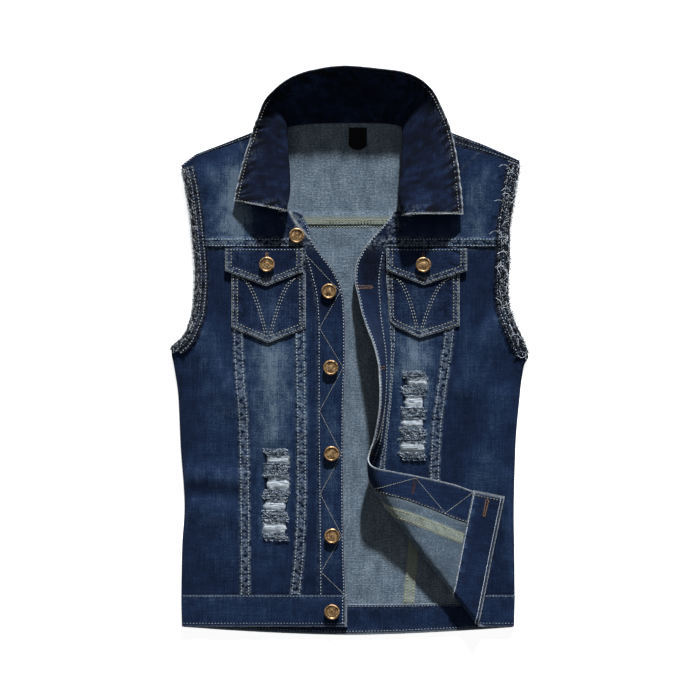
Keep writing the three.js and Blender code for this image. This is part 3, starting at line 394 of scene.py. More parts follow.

# %% [markdown]
# ## From a grid to a piece of cloth
#
# One helper makes every cut piece. It takes a grid on the plan, lays it twice, once for the
# outside of the cloth and once for the inside, and closes the edges, holes included. Solidify
# could give the thickness, but here seams stand higher than the panel, so each side has its own
# height. Three things ride along as data for the materials: the plan's own metres as a UV map, so
# that the weave follows the piece when it rolls over, and a colour attribute that says how faded,
# with painted shade and highlight, how puckered and how worn along an edge each point is.

# %% Build a cloth shell
FINE = 2.2  # millimetres between grid lines on what shows
SHARP_ANGLE = math.radians(55)
pieces = {}


def add_object(name, data):
    thing = bpy.data.objects.new(name, data)
    bpy.context.scene.collection.objects.link(thing)
    return thing


def lines(lo, hi, step, edges=True):
    """Places from lo to hi a step apart, closer beside both edges."""
    count = max(2, round((hi - lo) / step))
    places = list(np.linspace(lo, hi, count + 1))
    if edges:
        places += [lo + 0.5, lo + 1.2, hi - 0.5, hi - 1.2]
    return np.array(sorted(places))


def shell(name, outer, inner, plan_xy, look, keep=None):
    """A closed mesh from two grids of points. Slots: 0 outside, 1 inside, 2 cut edge."""
    rows, columns = outer.shape[:2]
    total = rows * columns
    ids = np.arange(total).reshape(rows, columns)
    quads = np.stack([ids[:-1, :-1], ids[:-1, 1:], ids[1:, 1:], ids[1:, :-1]], -1).reshape(-1, 4)
    if keep is not None:
        quads = quads[keep.reshape(-1)]
    edges = np.stack([quads, np.roll(quads, -1, axis=1)], -1).reshape(-1, 2)
    forward = edges[:, 0] * total + edges[:, 1]
    backward = edges[:, 1] * total + edges[:, 0]
    open_edges = edges[~np.isin(forward, backward)]
    walls = np.stack([
        open_edges[:, 1], open_edges[:, 0], open_edges[:, 0] + total, open_edges[:, 1] + total,
    ], -1)
    faces = np.concatenate([quads, quads[:, ::-1] + total, walls])
    slots = np.repeat([0, 1, 2], [len(quads), len(quads), len(walls)])
    points = np.concatenate([outer.reshape(-1, 3), inner.reshape(-1, 3)]) + CENTRING
    points[:, 2] = np.maximum(points[:, 2], 0)  # the table is level under everything
    mesh = bpy.data.meshes.new(name)
    mesh.vertices.add(len(points))
    mesh.vertices.foreach_set("co", (points / 1000).ravel())
    mesh.loops.add(faces.size)
    mesh.loops.foreach_set("vertex_index", faces.ravel())
    mesh.polygons.add(len(faces))
    mesh.polygons.foreach_set("loop_start", np.arange(0, faces.size, 4))
    mesh.polygons.foreach_set("material_index", slots)
    mesh.update(calc_edges=True)
    both_plan = np.tile(plan_xy.reshape(-1, 2), (2, 1)) / 1000
    uv = mesh.uv_layers.new(name="plan")
    uv.data.foreach_set("uv", both_plan[faces.ravel()].ravel())
    both_looks = np.tile(look.reshape(-1, 3), (2, 1))
    rgba = np.concatenate([both_looks, np.ones((len(both_looks), 1))], axis=1)
    mesh.color_attributes.new(name="look", type="FLOAT_COLOR", domain="POINT")
    mesh.color_attributes["look"].data.foreach_set("color", rgba.ravel())
    mesh.polygons.foreach_set("use_smooth", np.ones(len(faces), bool))
    mesh.set_sharp_from_angle(angle=SHARP_ANGLE)
    drop_unused(mesh)
    return add_object(name, mesh)


def drop_unused(mesh):
    """Deletes points that no face uses, such as those inside a hole."""
    used = np.zeros(len(mesh.vertices), bool)
    corners = np.empty(len(mesh.loops), int)
    mesh.loops.foreach_get("vertex_index", corners)
    used[corners] = True
    if used.all():
        return
    work = bmesh.new()
    work.from_mesh(mesh)
    work.verts.ensure_lookup_table()
    bmesh.ops.delete(work, geom=[work.verts[i] for i in np.flatnonzero(~used)], context="VERTS")
    work.to_mesh(mesh)
    work.free()


def plan_area(xy):
    """Flat area of a grid on the plan, in square millimetres."""
    d1 = xy[1:, 1:] - xy[:-1, :-1]
    d2 = xy[1:, :-1] - xy[:-1, 1:]
    return float(np.abs(d1[..., 0] * d2[..., 1] - d1[..., 1] * d2[..., 0]).sum() / 2)


def keep_cut(node, piece, xy, width, length):
    """Keeps a piece under its node's name, with the flat size it was cut to."""
    piece["cut_area"] = plan_area(xy)
    piece["cut_width"] = float(width)
    piece["cut_length"] = float(length)
    pieces[node] = piece


print("edges sharper than", round(math.degrees(SHARP_ANGLE)), "degrees stay sharp")

# %% [markdown]
# ## What each place on the plan looks like
#
# A garment wash takes the indigo off where the cloth is rubbed: a long pale patch down each centre
# panel, a half moon on each yoke, and every ridge of a seam. The tops of the laid folds carry a
# painted highlight, and three spots of negative strength paint the shadow of the collar's ends on
# the fronts near the neck. The painter's way would be an image; the way here is a few soft spots
# with a place, a size and a strength, so that the fade can be moved like any other dimension.

# %% The fade of the wash, with painted shade and highlight
# Rows of (x, y, reach across, reach along, strength). A negative strength paints shade.
FADE_AND_SHADE_SPOTS = [
    (-100, 5, 34, 66, 0.56), (-98, -95, 32, 66, 0.42), (-96, -190, 28, 60, 0.3), (-147, 196, 17, 58, 0.9),
    (-146, 160, 26, 22, 0.55), (-178, 225, 16, 16, 0.2), (-95, 150, 22, 24, 0.2), (-24, -60, 10, 90, 0.14),
    (-24, -210, 10, 80, 0.12), (-58, -60, 7, 120, 0.25), (84, 2, 32, 56, 0.58), (78, -85, 30, 60, 0.36),
    (72, -170, 20, 50, 0.06), (158, 184, 17, 46, 0.4), (172, 226, 16, 16, 0.15), (110, 148, 30, 14, 0.15),
    (40, -40, 8, 120, 0.3), (-103, 60, 26, 20, 0.25), (92, 64, 24, 20, 0.25), (-196, 60, 12, 60, 0.12),
    # painted shadow: the last two spots on this line and the first on the next paint the collar ends' shadow
    (196, 90, 12, 60, 0.12), (-190, -190, 30, 5, 0.2), (-34, 112, 20, 46, -0.3), (-66, 132, 34, 24, -0.35),
    (30, 110, 20, 45, -0.25), (150, 20, 8, 50, 0.18), (-150, -334, 90, 12, 0.1), (150, -334, 60, 12, 0.1),
    (-96, -270, 90, 50, 0.05), (150, -250, 60, 70, 0.05),
]


def fade_and_painted_light_of(x, y):
    fade = np.full(np.broadcast(x, y).shape, 0.05)
    for cx, cy, across, along, strength in FADE_AND_SHADE_SPOTS:
        fade = fade + strength * bell(x - cx, across) * bell(y - cy, along)
    # painted highlight: the tops of the laid folds are painted paler
    fade = fade + 0.07 * np.clip(fold_height(x, y), 0, 3)
    uneven = 0.5 * noise(x, y, 26, 5) + 0.4 * noise(1.4 * x, 0.8 * y, 9, 6)
    uneven = uneven + 0.35 * noise(1.6 * x, y, 4.5, 12)
    return np.clip(fade * (1 + 0.45 * uneven) + 0.06 * uneven, -0.15, 1)


def look_of(x, y, seams):
    """Fade with painted shade and highlight, roping and edge wear as three numbers for each point."""
    fade = fade_and_painted_light_of(x, y)
    rope = np.zeros(fade.shape)
    if seams:
        band = np.maximum(*seam_bands(x, y, seams))
        ridge = puckers(x, y, seams)
        fade = fade + 0.1 * band + 0.15 * np.minimum(ridge, 0)
        rope = np.clip(0.95 * band + 0.1 * ridge, 0, 1)
    return np.stack([fade, rope, np.zeros(rope.shape)], -1)


def cloth_piece(node, us, vs, plan, surface, cloth, seams, lift=0, raised=None, keep=None, look=None):
    """Lays a grid of the plan on a surface, gives it its thickness and keeps the piece."""
    u, v = np.meshgrid(us, vs)
    x, y = plan(u, v)
    middle, normal = laid(surface, x, y, lift, seams)
    rise = np.zeros(x.shape) if raised is None else raised(x, y)
    to_side = np.minimum.reduce([u - us[0], us[-1] - u, v - vs[0], vs[-1] - v])
    soft = 0.3 * (1 - ramp(0, 1.4, to_side))  # a worn edge is a little thinner
    outer = middle + normal * (cloth / 2 + rise - soft)[..., None]
    inner = middle - normal * (cloth / 2)
    xy = np.stack([x, y], -1)
    seen = look_of(x, y, seams) if look is None else look(x, y)
    keep_cut(node, shell("cloth_" + node, outer, inner, xy, seen, keep), xy, np.ptp(x), np.ptp(y))


def between(left, right, width):
    """A plan whose u runs over a width, from one upright seam to the other."""
    def plan(u, v):
        a, b = left(v) + SEAM_GAP / 2, right(v) - SEAM_GAP / 2
        return a + (b - a) * u / width, v

    return plan


def felled(fell, end):
    """The rise of a felled band that ends this far from its seam, or nothing."""
    if fell is None:
        return None
    seam, sign = fell
    return lambda x, y: FELL_RISE * ramp(end, end - 1, sign * (x - seam(y)))


def strip_piece(node, left, right, low, high, surface, cloth, seams, fell=None, step=FINE, **more):
    """A piece between two upright seams. The grid's u and v are millimetres."""
    heights = np.linspace(low, high, 30)
    width = float(np.max(right(heights) - left(heights)))
    us = lines(0, width, step)
    vs = lines(low + SEAM_GAP / 2, high - SEAM_GAP / 2, step)
    raised = felled(fell, FELL_WIDTH + 1.0)
    cloth_piece(node, us, vs, between(left, right, width), surface, cloth, seams, raised=raised, **more)


print("grid step:", FINE, "mm; fade spots:", len(FADE_AND_SHADE_SPOTS))

# %% [markdown]
# ## The fronts
#
# Each front has a yoke on top, and below it a side panel, a centre panel, an inner strip and the
# placket. At a flat-felled seam the two edges are folded into each other, so a band beside the
# seam is twice as thick: the side panel carries it at the outer seam, and the inner strip at the
# inner one. The centre panels have worn windows, where the blue warp is gone. Their edges are
# ragged, so the holes are cut from the grid with a noisy outline.

# %% Panels, strips and plackets
# Rows of (left, right, top, bottom) for the worn windows
WEAR = {
    "left": [(-105, -78.5, -135, -146), (-105, -79, -163.5, -180), (-108, -83.5, -192.5, -206.5),
             (-110, -83.5, -220.5, -235)],
    "right": [(74, 97, -36, -47), (71.5, 92, -58, -75), (67.5, 92, -87, -100), (66, 94, -117, -132)],
}
SIDES = {
    "left": {"surface": left_front, "seams": LEFT_SEAMS, "outline": left_outline, "outer": left_outer,
             "inner": left_inner, "placket": left_placket, "edge": left_edge, "sign": -1},
    "right": {"surface": right_front, "seams": RIGHT_SEAMS, "outline": right_outline, "outer": right_outer,
              "inner": right_inner, "placket": right_placket, "edge": right_edge, "sign": 1},
}
PLACKET_TOP = 177.2
NARROW_STEP = 1.8
WINDOW_STEP = 1.4
CENTRE_STEP = 2.4


def window_depth(x, y, side):
    """How far inside a worn window a point is: above 0 it is in the hole."""
    depth = np.full(x.shape, -99.0)
    for left, right, top, bottom in WEAR[side]:
        ragged = 1.3 * noise(x, y, 4, 7) + 0.8 * noise(x, y, 1.8, 8)
        inside = np.minimum(np.minimum(x - left, right - x), np.minimum(top - y, y - bottom))
        depth = np.maximum(depth, inside + ragged)
    return depth


def worn_column(x, y, side):
    """How far inside the whole worn column a point is, with the bars between its windows."""
    left, right, top, bottom = np.array(WEAR[side]).T
    beside = [x - left.min() - 1, right.max() - 3 - x]
    return np.minimum.reduce(beside + [top.max() + 5 - y, y - bottom.min() + 5])


def ordered(side, a, b):
    return (a, b) if side == "left" else (b, a)


def make_centre(side):
    s = SIDES[side]
    left, right = ordered(side, s["outer"], s["inner"])
    us = np.arange(0, 72, 1.5)
    vs = np.concatenate([
        np.arange(BAND_SEAM_Y + SEAM_GAP / 2, -250, CENTRE_STEP), np.arange(-250, -20, WINDOW_STEP),
        np.arange(-20, YOKE_SEAM_Y, CENTRE_STEP), [YOKE_SEAM_Y - SEAM_GAP / 2],
    ])
    plan = between(left, right, us[-1])
    u, v = np.meshgrid((us[1:] + us[:-1]) / 2, (vs[1:] + vs[:-1]) / 2)
    keep = window_depth(*plan(u, v), side) <= 0

    def look(x, y):
        base = look_of(x, y, s["seams"])
        depth = window_depth(x, y, side)
        bars = ramp(-2, 2, worn_column(x, y, side))
        base[..., 0] = base[..., 0] + 0.2 * ramp(-9, 0, depth) * (1 - bars) - 0.55 * bars
        base[..., 2] = 0.5 * ramp(-1.6, 0, depth) * (1 - bars)
        return base

    cloth_piece(f"front_{side}_centre_panel", us, vs, plan, s["surface"], DENIM, s["seams"],
                keep=keep, look=look)


def fold_line_wear(side):
    """The placket's free edge is worn pale, and so is the old fold at the neckline."""
    edge = SIDES[side]["edge"]

    def look(x, y):
        base = look_of(x, y, SIDES[side]["seams"])
        base[..., 2] = (0.5 if side == "left" else 0.9) * bell(x - edge(y), 1.1)
        if side == "left":
            crease = through([(140, -49), (152, -60), (166, -71), (181, -78.5)])
            top = ramp(138, 146, y)
            pale = top * bell(x - crease(y), 1.7)
            base[..., 2] = np.maximum(base[..., 2] * (1 - 0.5 * top), pale)
            base[..., 0] = np.maximum(base[..., 0], 0.4 * top * ramp(0, 2, x - crease(y)))
        return base

    return look


def make_front(side):
    s = SIDES[side]
    surface, seams, sign = s["surface"], s["seams"], s["sign"]
    strip_piece(f"front_{side}_side_panel", *ordered(side, s["outline"], s["outer"]), BAND_SEAM_Y,
                YOKE_SEAM_Y, surface, DENIM, seams, fell=(s["outer"], sign))
    make_centre(side)
    strip_piece(f"front_{side}_inner_strip", *ordered(side, s["inner"], s["placket"]), BAND_SEAM_Y,
                YOKE_SEAM_Y, surface, DENIM, seams, fell=(s["inner"], -sign), step=NARROW_STEP)
    strip_piece(f"front_{side}_placket", *ordered(side, s["placket"], s["edge"]), BAND_SEAM_Y,
                PLACKET_TOP, surface, PLACKET_CLOTH, seams, step=NARROW_STEP, look=fold_line_wear(side))


for side in SIDES:
    make_front(side)
print("front pieces:", len(pieces))

# %% [markdown]
# The waistband is a long strip folded double, so it is thick and its folds wear pale in a thin
# line. The yoke's lower edge is felled over the panels. Its neck edge follows the placket first
# and then runs up under the collar.

# %% Waistband halves and yokes
def hem_wear(side):
    """The waistband's folds are worn pale, and more so where the corner is turned back."""
    def look(x, y):
        base = look_of(x, y, BAND_SEAMS)
        low = bell(y - FRONT_HEM_Y, 1.3)
        top = bell(y - BAND_SEAM_Y, 1.1)
        end = bell(x - SIDES[side]["edge"](BAND_SEAM_Y), 1.8)
        over = ramp(-4, 4, turned(x, y)) if side == "right" else 0
        streaks = ramp(BAND_SEAM_Y - 14, BAND_SEAM_Y - 4, y) * np.clip(noise(x, 0.2 * y, 4, 13), 0, 1)
        base[..., 0] = base[..., 0] + 0.06 - 0.1 * over + 0.3 * streaks
        base[..., 1] = 0.12 * base[..., 1]
        base[..., 2] = np.clip((0.4 + 0.2 * over) * low + (0.12 + 0.4 * over) * top + 0.5 * end, 0, 1)
        return base

    return look


def make_front_band(side):
    s = SIDES[side]
    overlap = 1.5
    end = float(s["edge"](BAND_SEAM_Y)) - s["sign"] * overlap
    left, right = ordered(side, s["outline"], lambda y: np.full(np.shape(y), end))
    strip_piece(f"waistband_{side}", left, right, FRONT_HEM_Y, BAND_SEAM_Y - SEAM_GAP / 2, s["surface"],
                BAND_CLOTH, BAND_SEAMS, step=NARROW_STEP, look=hem_wear(side))


YOKE_TURN_Y = 177  # up to here the yoke's neck edge follows the placket
SHOULDER_GAP = 0.7


def shoulder_edge(side, x):
    """The lower edge of the back yoke's strip over a shoulder."""
    rows = BACK_TOP[:5] if side == "left" else BACK_TOP[11:]
    return np.interp(x, rows[:, 0], rows[:, 1] - rows[:, 2])


def make_yoke(side):
    s = SIDES[side]
    tip, neck = SHOULDERS[side]["tip"], SHOULDERS[side]["neck"]
    low = YOKE_SEAM_Y + SEAM_GAP / 2
    turn = (YOKE_TURN_Y - low) / (neck[1] - low)
    us, vs = lines(0, 165, FINE), lines(0, 157, FINE)

    def plan(u, v):
        u, v = u / us[-1], v / vs[-1]
        arm_y = mix(low, tip[1], v)
        arm_x = mix(s["outline"](arm_y), tip[0], v**3)
        neck_y = mix(low, neck[1], v)
        beside = s["placket"](np.minimum(neck_y, YOKE_TURN_Y)) + s["sign"] * SEAM_GAP
        neck_x = np.where(neck_y < YOKE_TURN_Y, beside, mix(beside, neck[0], (v - turn) / (1 - turn)))
        t = u if side == "left" else 1 - u
        rise = shoulder_edge(side, mix(tip[0], neck[0], t)) - SHOULDER_GAP - mix(tip[1], neck[1], t)
        return mix(arm_x, neck_x, t), mix(arm_y, neck_y, t) + rise * v**4

    fell = lambda x, y: FELL_RISE * ramp(low + 12.5, low + 11.5, y)
    cloth_piece(f"front_{side}_yoke", us, vs, plan, s["surface"], DENIM, YOKE_SEAMS[side], raised=fell)


for side in SIDES:
    make_front_band(side)
    make_yoke(side)
print("so far:", len(pieces), "cut pieces")

# %% [markdown]
# ## Pockets and flaps
#
# A pocket and its flap are patches with a pointed lower edge. They lie on the panel's own points,
# moved out past the seams under them. Washing makes their turned edges pale and leaves a darker
# middle, so their look comes from the distance to their own outline.

# %% Pointed patches
POCKETS = {
    "left": {"top": 98, "left": -151.5, "right": -56.5, "low_left": 29, "low_right": 27.5,
             "tip": (-104.5, 9)},
    "right": {"top": 98, "left": 45.5, "right": 140, "low_left": 36, "low_right": 31,
              "tip": (89, 15.5)},
}
FLAPS = {
    "left": {"top": 130, "left": -159.5, "right": -60, "low_left": 101, "low_right": 100,
             "tip": (-107, 81.5)},
    "right": {"top": 130, "left": 46, "right": 149.5, "low_left": 101, "low_right": 101,
              "tip": (94.5, 83)},
}
PATCH_STEP = 1.6


def low_edge(shape, x):
    tip_x, tip_y = shape["tip"]
    falling = mix(shape["low_left"], tip_y, (x - shape["left"]) / (tip_x - shape["left"]))
    rising = mix(tip_y, shape["low_right"], (x - tip_x) / (shape["right"] - tip_x))
    return np.where(x < tip_x, falling, rising)


def patch_piece(node, shape, side, lift, cloth, tip_wear):
    """A pocket or a flap. Tip wear says how far its point is rubbed through."""
    width, height = shape["right"] - shape["left"], shape["top"] - shape["tip"][1]
    us, vs = lines(0, width, PATCH_STEP), lines(0, height, PATCH_STEP)

    def plan(u, v):
        x = shape["left"] + u
        return x, mix(low_edge(shape, x), shape["top"], v / vs[-1])

    def look(x, y):
        rim = np.minimum(np.minimum(x - shape["left"], shape["right"] - x), y - low_edge(shape, x))
        tip_x, tip_y = shape["tip"]
        tip = bell(x - tip_x, 15) * bell(y - tip_y, 9)
        flecks = np.tanh(2 * noise(x + 0.5 * y, y, 3.6, 9))
        border = np.exp(-(rim / 8) ** 4)
        fade = 0.34 - 0.2 * tip_wear + 0.7 * fade_and_painted_light_of(x, y) + border * (0.2 + 0.3 * np.minimum(flecks, 0))
        rope = np.clip(border * (0.75 + 0.25 * flecks) + tip, 0, 1)
        worn = 0.6 * bell(rim, 0.9) + tip_wear * tip * ramp(-0.3, 0.6, flecks)
        return np.stack([fade, rope, np.clip(worn, 0, 1)], -1)

    s = SIDES[side]
    cloth_piece(node, us, vs, plan, s["surface"], cloth, s["seams"], lift=lift, look=look)


for side in SIDES:
    patch_piece(f"pocket_{side}", POCKETS[side], side, POCKET_LIFT, POCKET_CLOTH, 0.8)
    patch_piece(f"pocket_flap_{side}", FLAPS[side], side, FLAP_PATCH_LIFT, FLAP_CLOTH, 0.25)
print("pocket opening:", POCKETS["left"]["right"] - POCKETS["left"]["left"], "mm")

# %% [markdown]
# ## The back, wrong side up
#
# What shows of the back is its inside, where the pale weft lies on top. Its yoke folds over at each
# shoulder to reach the front yoke, so that piece's grid goes on past the fold: flat rows, rows
# round a half circle, and rows on the front. Where the neck is, there is nothing to wrap.

# %% Back panels, waistband and yoke
BACK_BAND_SEAM_Y = -325.5


def back_seam(sign):
    return lambda y: sign * mix(68, 112, (y + 325) / 480)


back_left_seam, back_right_seam = back_seam(-1), back_seam(1)


def back_band_seam(x):
    return BACK_BAND_SEAM_Y + 3.5 * (x / 210) ** 2


def back_hem(x):
    return -365 + 10 * np.abs(x / 210) ** 1.6


BACK_SEAMS = {
    "upright": [(back_left_seam, -1), (back_right_seam, 1)],
    "level": [BACK_YOKE_SEAM_Y + 7],
}
BACK_STEP = 3.0
BACK_YOKE_CUT = (435, 150)
TUCK = 1.2  # how far a panel goes on inside its seam, so that no light comes through


def make_back_panel(node, left, right, fell=None):
    tuck = TUCK if fell is None else -SEAM_GAP / 2
    us, vs = lines(0, 200, BACK_STEP), lines(0, 486, BACK_STEP)

    def plan(u, v):
        u, v = u / us[-1], v / vs[-1]
        low = back_band_seam(mix(left(BACK_BAND_SEAM_Y), right(BACK_BAND_SEAM_Y), u)) - TUCK
        y = mix(low, BACK_YOKE_SEAM_Y + TUCK, v)
        return mix(left(y) - tuck, right(y) + tuck, u), y

    cloth_piece(node, us, vs, plan, back, DENIM, BACK_SEAMS, raised=felled(fell, FELL_WIDTH))


def make_back_band():
    us, vs = lines(-213, 209, 2.4), lines(0, 40, 2.0)
    plan = lambda u, v: (u, mix(back_hem(u), back_band_seam(u) - SEAM_GAP / 2, v / vs[-1]))

    def look(x, y):
        from_hem, from_seam = y - back_hem(x), y - back_band_seam(x)
        rope = 0.3 * bell(from_hem, 7) + 0.2 * bell(from_seam, 7)
        edge = 0.8 * bell(from_hem, 1.8) + 0.6 * bell(from_seam, 1.2)
        return np.stack([0.12 + 0.1 * noise(x, y, 14, 5), np.clip(rope, 0, 1), edge], -1)

    cloth_piece("back_waistband", us, vs, plan, back_band, BAND_CLOTH, None, look=look)


def make_back_yoke():
    seam_y = BACK_YOKE_SEAM_Y + SEAM_GAP / 2
    turn_reach = 3
    flat, turn, strip = np.linspace(0, 1, 44), np.linspace(0, 1, 9)[1:], np.linspace(0, 1, 9)[1:]
    parts = [(-215.5, -90, 50), (-84, 76, 60), (82, 217, 54)]  # left shoulder, neck, right shoulder
    columns = np.concatenate([np.linspace(*part) for part in parts])
    top_y = np.interp(columns, BACK_TOP[:, 0], BACK_TOP[:, 1])
    wrap = np.interp(columns, BACK_TOP[:, 0], BACK_TOP[:, 2])
    first, last = BACK_TOP[0, 0], BACK_TOP[-1, 0]
    low_x = mix(left_outline(seam_y), right_outline(seam_y), (columns - first) / (last - first))
    wraps = wrap > 0
    flat_top = np.where(wraps, top_y - turn_reach, top_y)
    rows, plan_rows = [], []
    for t in flat:
        x, y = mix(low_x, columns, t), mix(seam_y, flat_top, t)
        rows.append(back(x, y))
        plan_rows.append(np.stack([x, y], -1))
    low = back(columns, flat_top)[:, 2]
    radius = (front_height(columns, flat_top) - low) / 2
    for t in turn:
        y = np.where(wraps, flat_top + radius * np.sin(math.pi * t), flat_top + 0.4 * t)
        z = np.where(wraps, low + radius * (1 - np.cos(math.pi * t)), low)
        rows.append(np.stack([columns, y, z], -1))
        plan_rows.append(np.stack([columns, flat_top + t * math.pi * radius], -1))
    for t in strip:
        y = np.where(wraps, mix(flat_top, top_y - wrap, t), flat_top + 0.4 + 0.4 * t)
        z = np.where(wraps, front_height(columns, y), low)
        rows.append(np.stack([columns, y, z], -1))
        plan_rows.append(np.stack([columns, flat_top + math.pi * radius + t * np.abs(flat_top - y)], -1))
    middle, xy = np.array(rows), np.array(plan_rows)
    across, along = np.gradient(middle, axis=1), np.gradient(middle, axis=0)
    normal = unit(np.cross(across, along))
    x, y = xy[..., 0], xy[..., 1]
    over = np.zeros(x.shape)
    over[len(flat):] = 1  # on the rows that go over the shoulder
    soft = (0.5 * noise(x, y, 30, 1) * (1 - over))[..., None]
    fell = FELL_RISE * ramp(seam_y + FELL_WIDTH, seam_y + FELL_WIDTH - 1, y)
    fell = fell * (1 - over)
    outer = middle + normal * (DENIM / 2 + fell[..., None] + soft)
    inner = middle - normal * (DENIM / 2 - soft)
    rope = 0.95 * ramp(seam_y - 2, seam_y, y) * ramp(seam_y + 11, seam_y + 8, y)
    fade = 0.3 + 0.2 * noise(x, y, 20, 5) - 0.4 * over
    look = np.stack([fade, rope * (1 - over) + 0.2 * over, 0 * x], -1)
    keep_cut("back_yoke", shell("cloth_back_yoke", outer, inner, xy, look), xy, *BACK_YOKE_CUT)


make_back_panel("back_centre_panel", back_left_seam, back_right_seam)
make_back_panel("back_left_side_panel", left_outline, back_left_seam, (back_left_seam, -1))
make_back_panel("back_right_side_panel", back_right_seam, right_outline, (back_right_seam, 1))
make_back_band()
make_back_yoke()
print("cut pieces:", len(pieces))

# %% [markdown]
# ## The collar
#
# A shirt collar stands up from the neck seam, rolls over, and falls back. This one is laid open, so
# its middle stands up behind the neck and its ends lie on the fronts. It is drawn as sections
# across it, one every few centimetres along the neck. Each has five points: the neck seam, the
# roll, the crown, the fall and the outer edge. A smooth curve through the sections, and one
# through each section's points, give the whole surface.

# %% Collar
# Rows of (neck x, y, z, roll x, y, z, crown z, edge x, y, z) along the neck
COLLAR_SECTIONS = np.array([
    (-92, 177, 7.6, -82, 176, 17, 27, -148, 190.5, 11.5),
    (-89, 205, 7.6, -77, 205, 14.5, 23, -143.5, 212, 10.8),
    (-90, 234, 7.6, -78.5, 234, 12.5, 19.5, -136, 242, 9.8),
    (-90, 259, 7.8, -80, 260, 12, 18, -127, 271, 10.5),
    (-88, 277, 7.8, -80.5, 279, 11, 18, -117.5, 297, 16),
    (-78, 287, 5.2, -76, 291, 9, 14, -104, 322, 27),
    (-48, 291, 3.4, -50, 298, 5.4, 8.6, -69, 346.5, 36),
    (-10, 292, 2.9, -11, 300, 4.8, 8, -17, 357.5, 39),
    (24, 292, 2.9, 25, 300, 4.8, 8, 32, 355, 39),
    (50, 291, 3.4, 52, 298, 5.4, 8.6, 75, 348.5, 36),
    (66, 287, 5.2, 65, 289, 9, 13.5, 102, 332, 28),
    (77, 274, 7.8, 68, 274, 11, 17, 117, 308, 18),
    (79, 250, 7.6, 67.5, 250, 12, 17, 129, 280, 11.5),
    (78, 222, 7.6, 66, 222, 13.5, 22, 137, 243, 10),
    (75, 197, 7.6, 62.5, 197, 16, 27, 141.5, 207, 12),
    (78, 171, 7.6, 67, 171, 18.5, 34, 144.5, 173, 14),
])


def curve_through(points, t, spacing):
    """A smooth curve through points at t from 0 to 1. Spacing 0 is even, 0.5 goes by distance."""
    points = np.concatenate([[2 * points[0] - points[1]], points, [2 * points[-1] - points[-2]]])
    place = np.asarray(t) * (len(points) - 3)
    i = np.clip(np.floor(place).astype(int), 0, len(points) - 4)
    w = (place - i).reshape((-1,) + (1,) * (points.ndim - 1))
    p0, p1, p2, p3 = points[i], points[i + 1], points[i + 2], points[i + 3]
    reach = lambda a, b: np.linalg.norm(b - a, axis=-1, keepdims=True) ** spacing
    d0, d1, d2 = reach(p0, p1), reach(p1, p2), reach(p2, p3)
    start = ((p1 - p0) / d0 - (p2 - p0) / (d0 + d1) + (p2 - p1) / d1) * d1
    stop = ((p2 - p1) / d1 - (p3 - p1) / (d1 + d2) + (p3 - p2) / d2) * d1
    bend = 3 * (p2 - p1) - 2 * start - stop
    return p1 + start * w + bend * w**2 + (2 * (p1 - p2) + start + stop) * w**3


def collar_surface(us, vs):
    """Points of the collar's middle: rows go from neck to edge, columns along the neck."""
    s = curve_through(COLLAR_SECTIONS, us, 0)
    neck, roll, edge = s[:, 0:3], s[:, 3:6], s[:, 7:10]
    crown, fall = mix(roll, edge, 0.13), mix(roll, edge, 0.55)
    crown[:, 2] = s[:, 6]
    fall[:, 2] = mix(s[:, 6], s[:, 9], 0.45) + 0.8
    return curve_through(np.array([neck, roll, crown, fall, edge]), vs, 0.5)


COLLAR_LENGTH = 560
COLLAR_DEPTH = 78
NECK_TUCK = 2.8  # the neck seam's own edge goes down between the layers and keeps light out
collar_us = lines(0, COLLAR_LENGTH, 1.9) / COLLAR_LENGTH
collar_vs = np.array(sorted([*np.linspace(0, 1, 48), 0.006, 0.985, 0.994]))
collar_middle = collar_surface(collar_us, collar_vs)
collar_middle[0, :, 2] -= NECK_TUCK
collar_normal = unit(np.cross(np.gradient(collar_middle, axis=0), np.gradient(collar_middle, axis=1)))
steps_out = np.linalg.norm(np.diff(collar_middle, axis=0), axis=-1)
collar_out = np.concatenate([np.zeros((1, len(collar_us))), np.cumsum(steps_out, axis=0)])


def make_collar():
    out, normal = collar_out, collar_normal
    along = np.broadcast_to(collar_us * COLLAR_LENGTH, out.shape)
    from_end = np.minimum(along, COLLAR_LENGTH - along)
    rim = np.minimum(out[-1] - out, 0.9 * from_end)
    leaf = ramp(190, 130, from_end)  # the two ends that lie on the fronts
    wave = 0.5 * noise(along, out, 30, 21) + 0.3 * noise(along, out, 12, 22)
    gather = np.tanh(2.5 * noise(along + 0.6 * out, out * 0.25, 5, 23)) * bell(rim, 13)
    soft = 0.4 * (1 - ramp(0, 1.6, rim)) + 0.25 * bell(rim - 5.5, 1.0)
    wave = (wave * ramp(0, 12, out) + (0.35 + 0.55 * leaf) * gather)[..., None]
    outer = collar_middle + normal * (COLLAR_CLOTH / 2 + wave - soft[..., None])
    inner = collar_middle - normal * (COLLAR_CLOTH / 2 - wave)
    # painted light: behind the neck the collar is painted a little paler than its ends, to lift the shade it
    # stands in
    fade = 0.1 - 0.05 * leaf + 0.12 * noise(along, out, 22, 24) + 0.16 * noise(along, out, 7, 25)
    fade = fade + 0.1 * ramp(50, 0, from_end) + 0.8 * np.minimum(gather, 0)
    rope = np.clip(0.45 * np.maximum(gather, 0) * leaf, 0, 1)
    look = np.stack([fade, rope, (0.15 + 0.75 * leaf) * bell(rim, 1.3)], -1)
    xy = np.stack([along, out], -1)
    keep_cut("collar", shell("cloth_collar", outer, inner, xy, look), xy, COLLAR_LENGTH, COLLAR_DEPTH)


make_collar()
print("collar:", COLLAR_LENGTH, "mm along the neck")

# %% [markdown]
# ## Armhole strips and the neck label
#
# Round each armhole a narrow strip of raw denim is sewn on top, and its fringe is what the eye
# sees. The strip follows the armhole's own curve, so its grid goes by distance across it. The
# label is a bare loop of black tape, sewn in at the neck, with a lower end that sags in the middle.

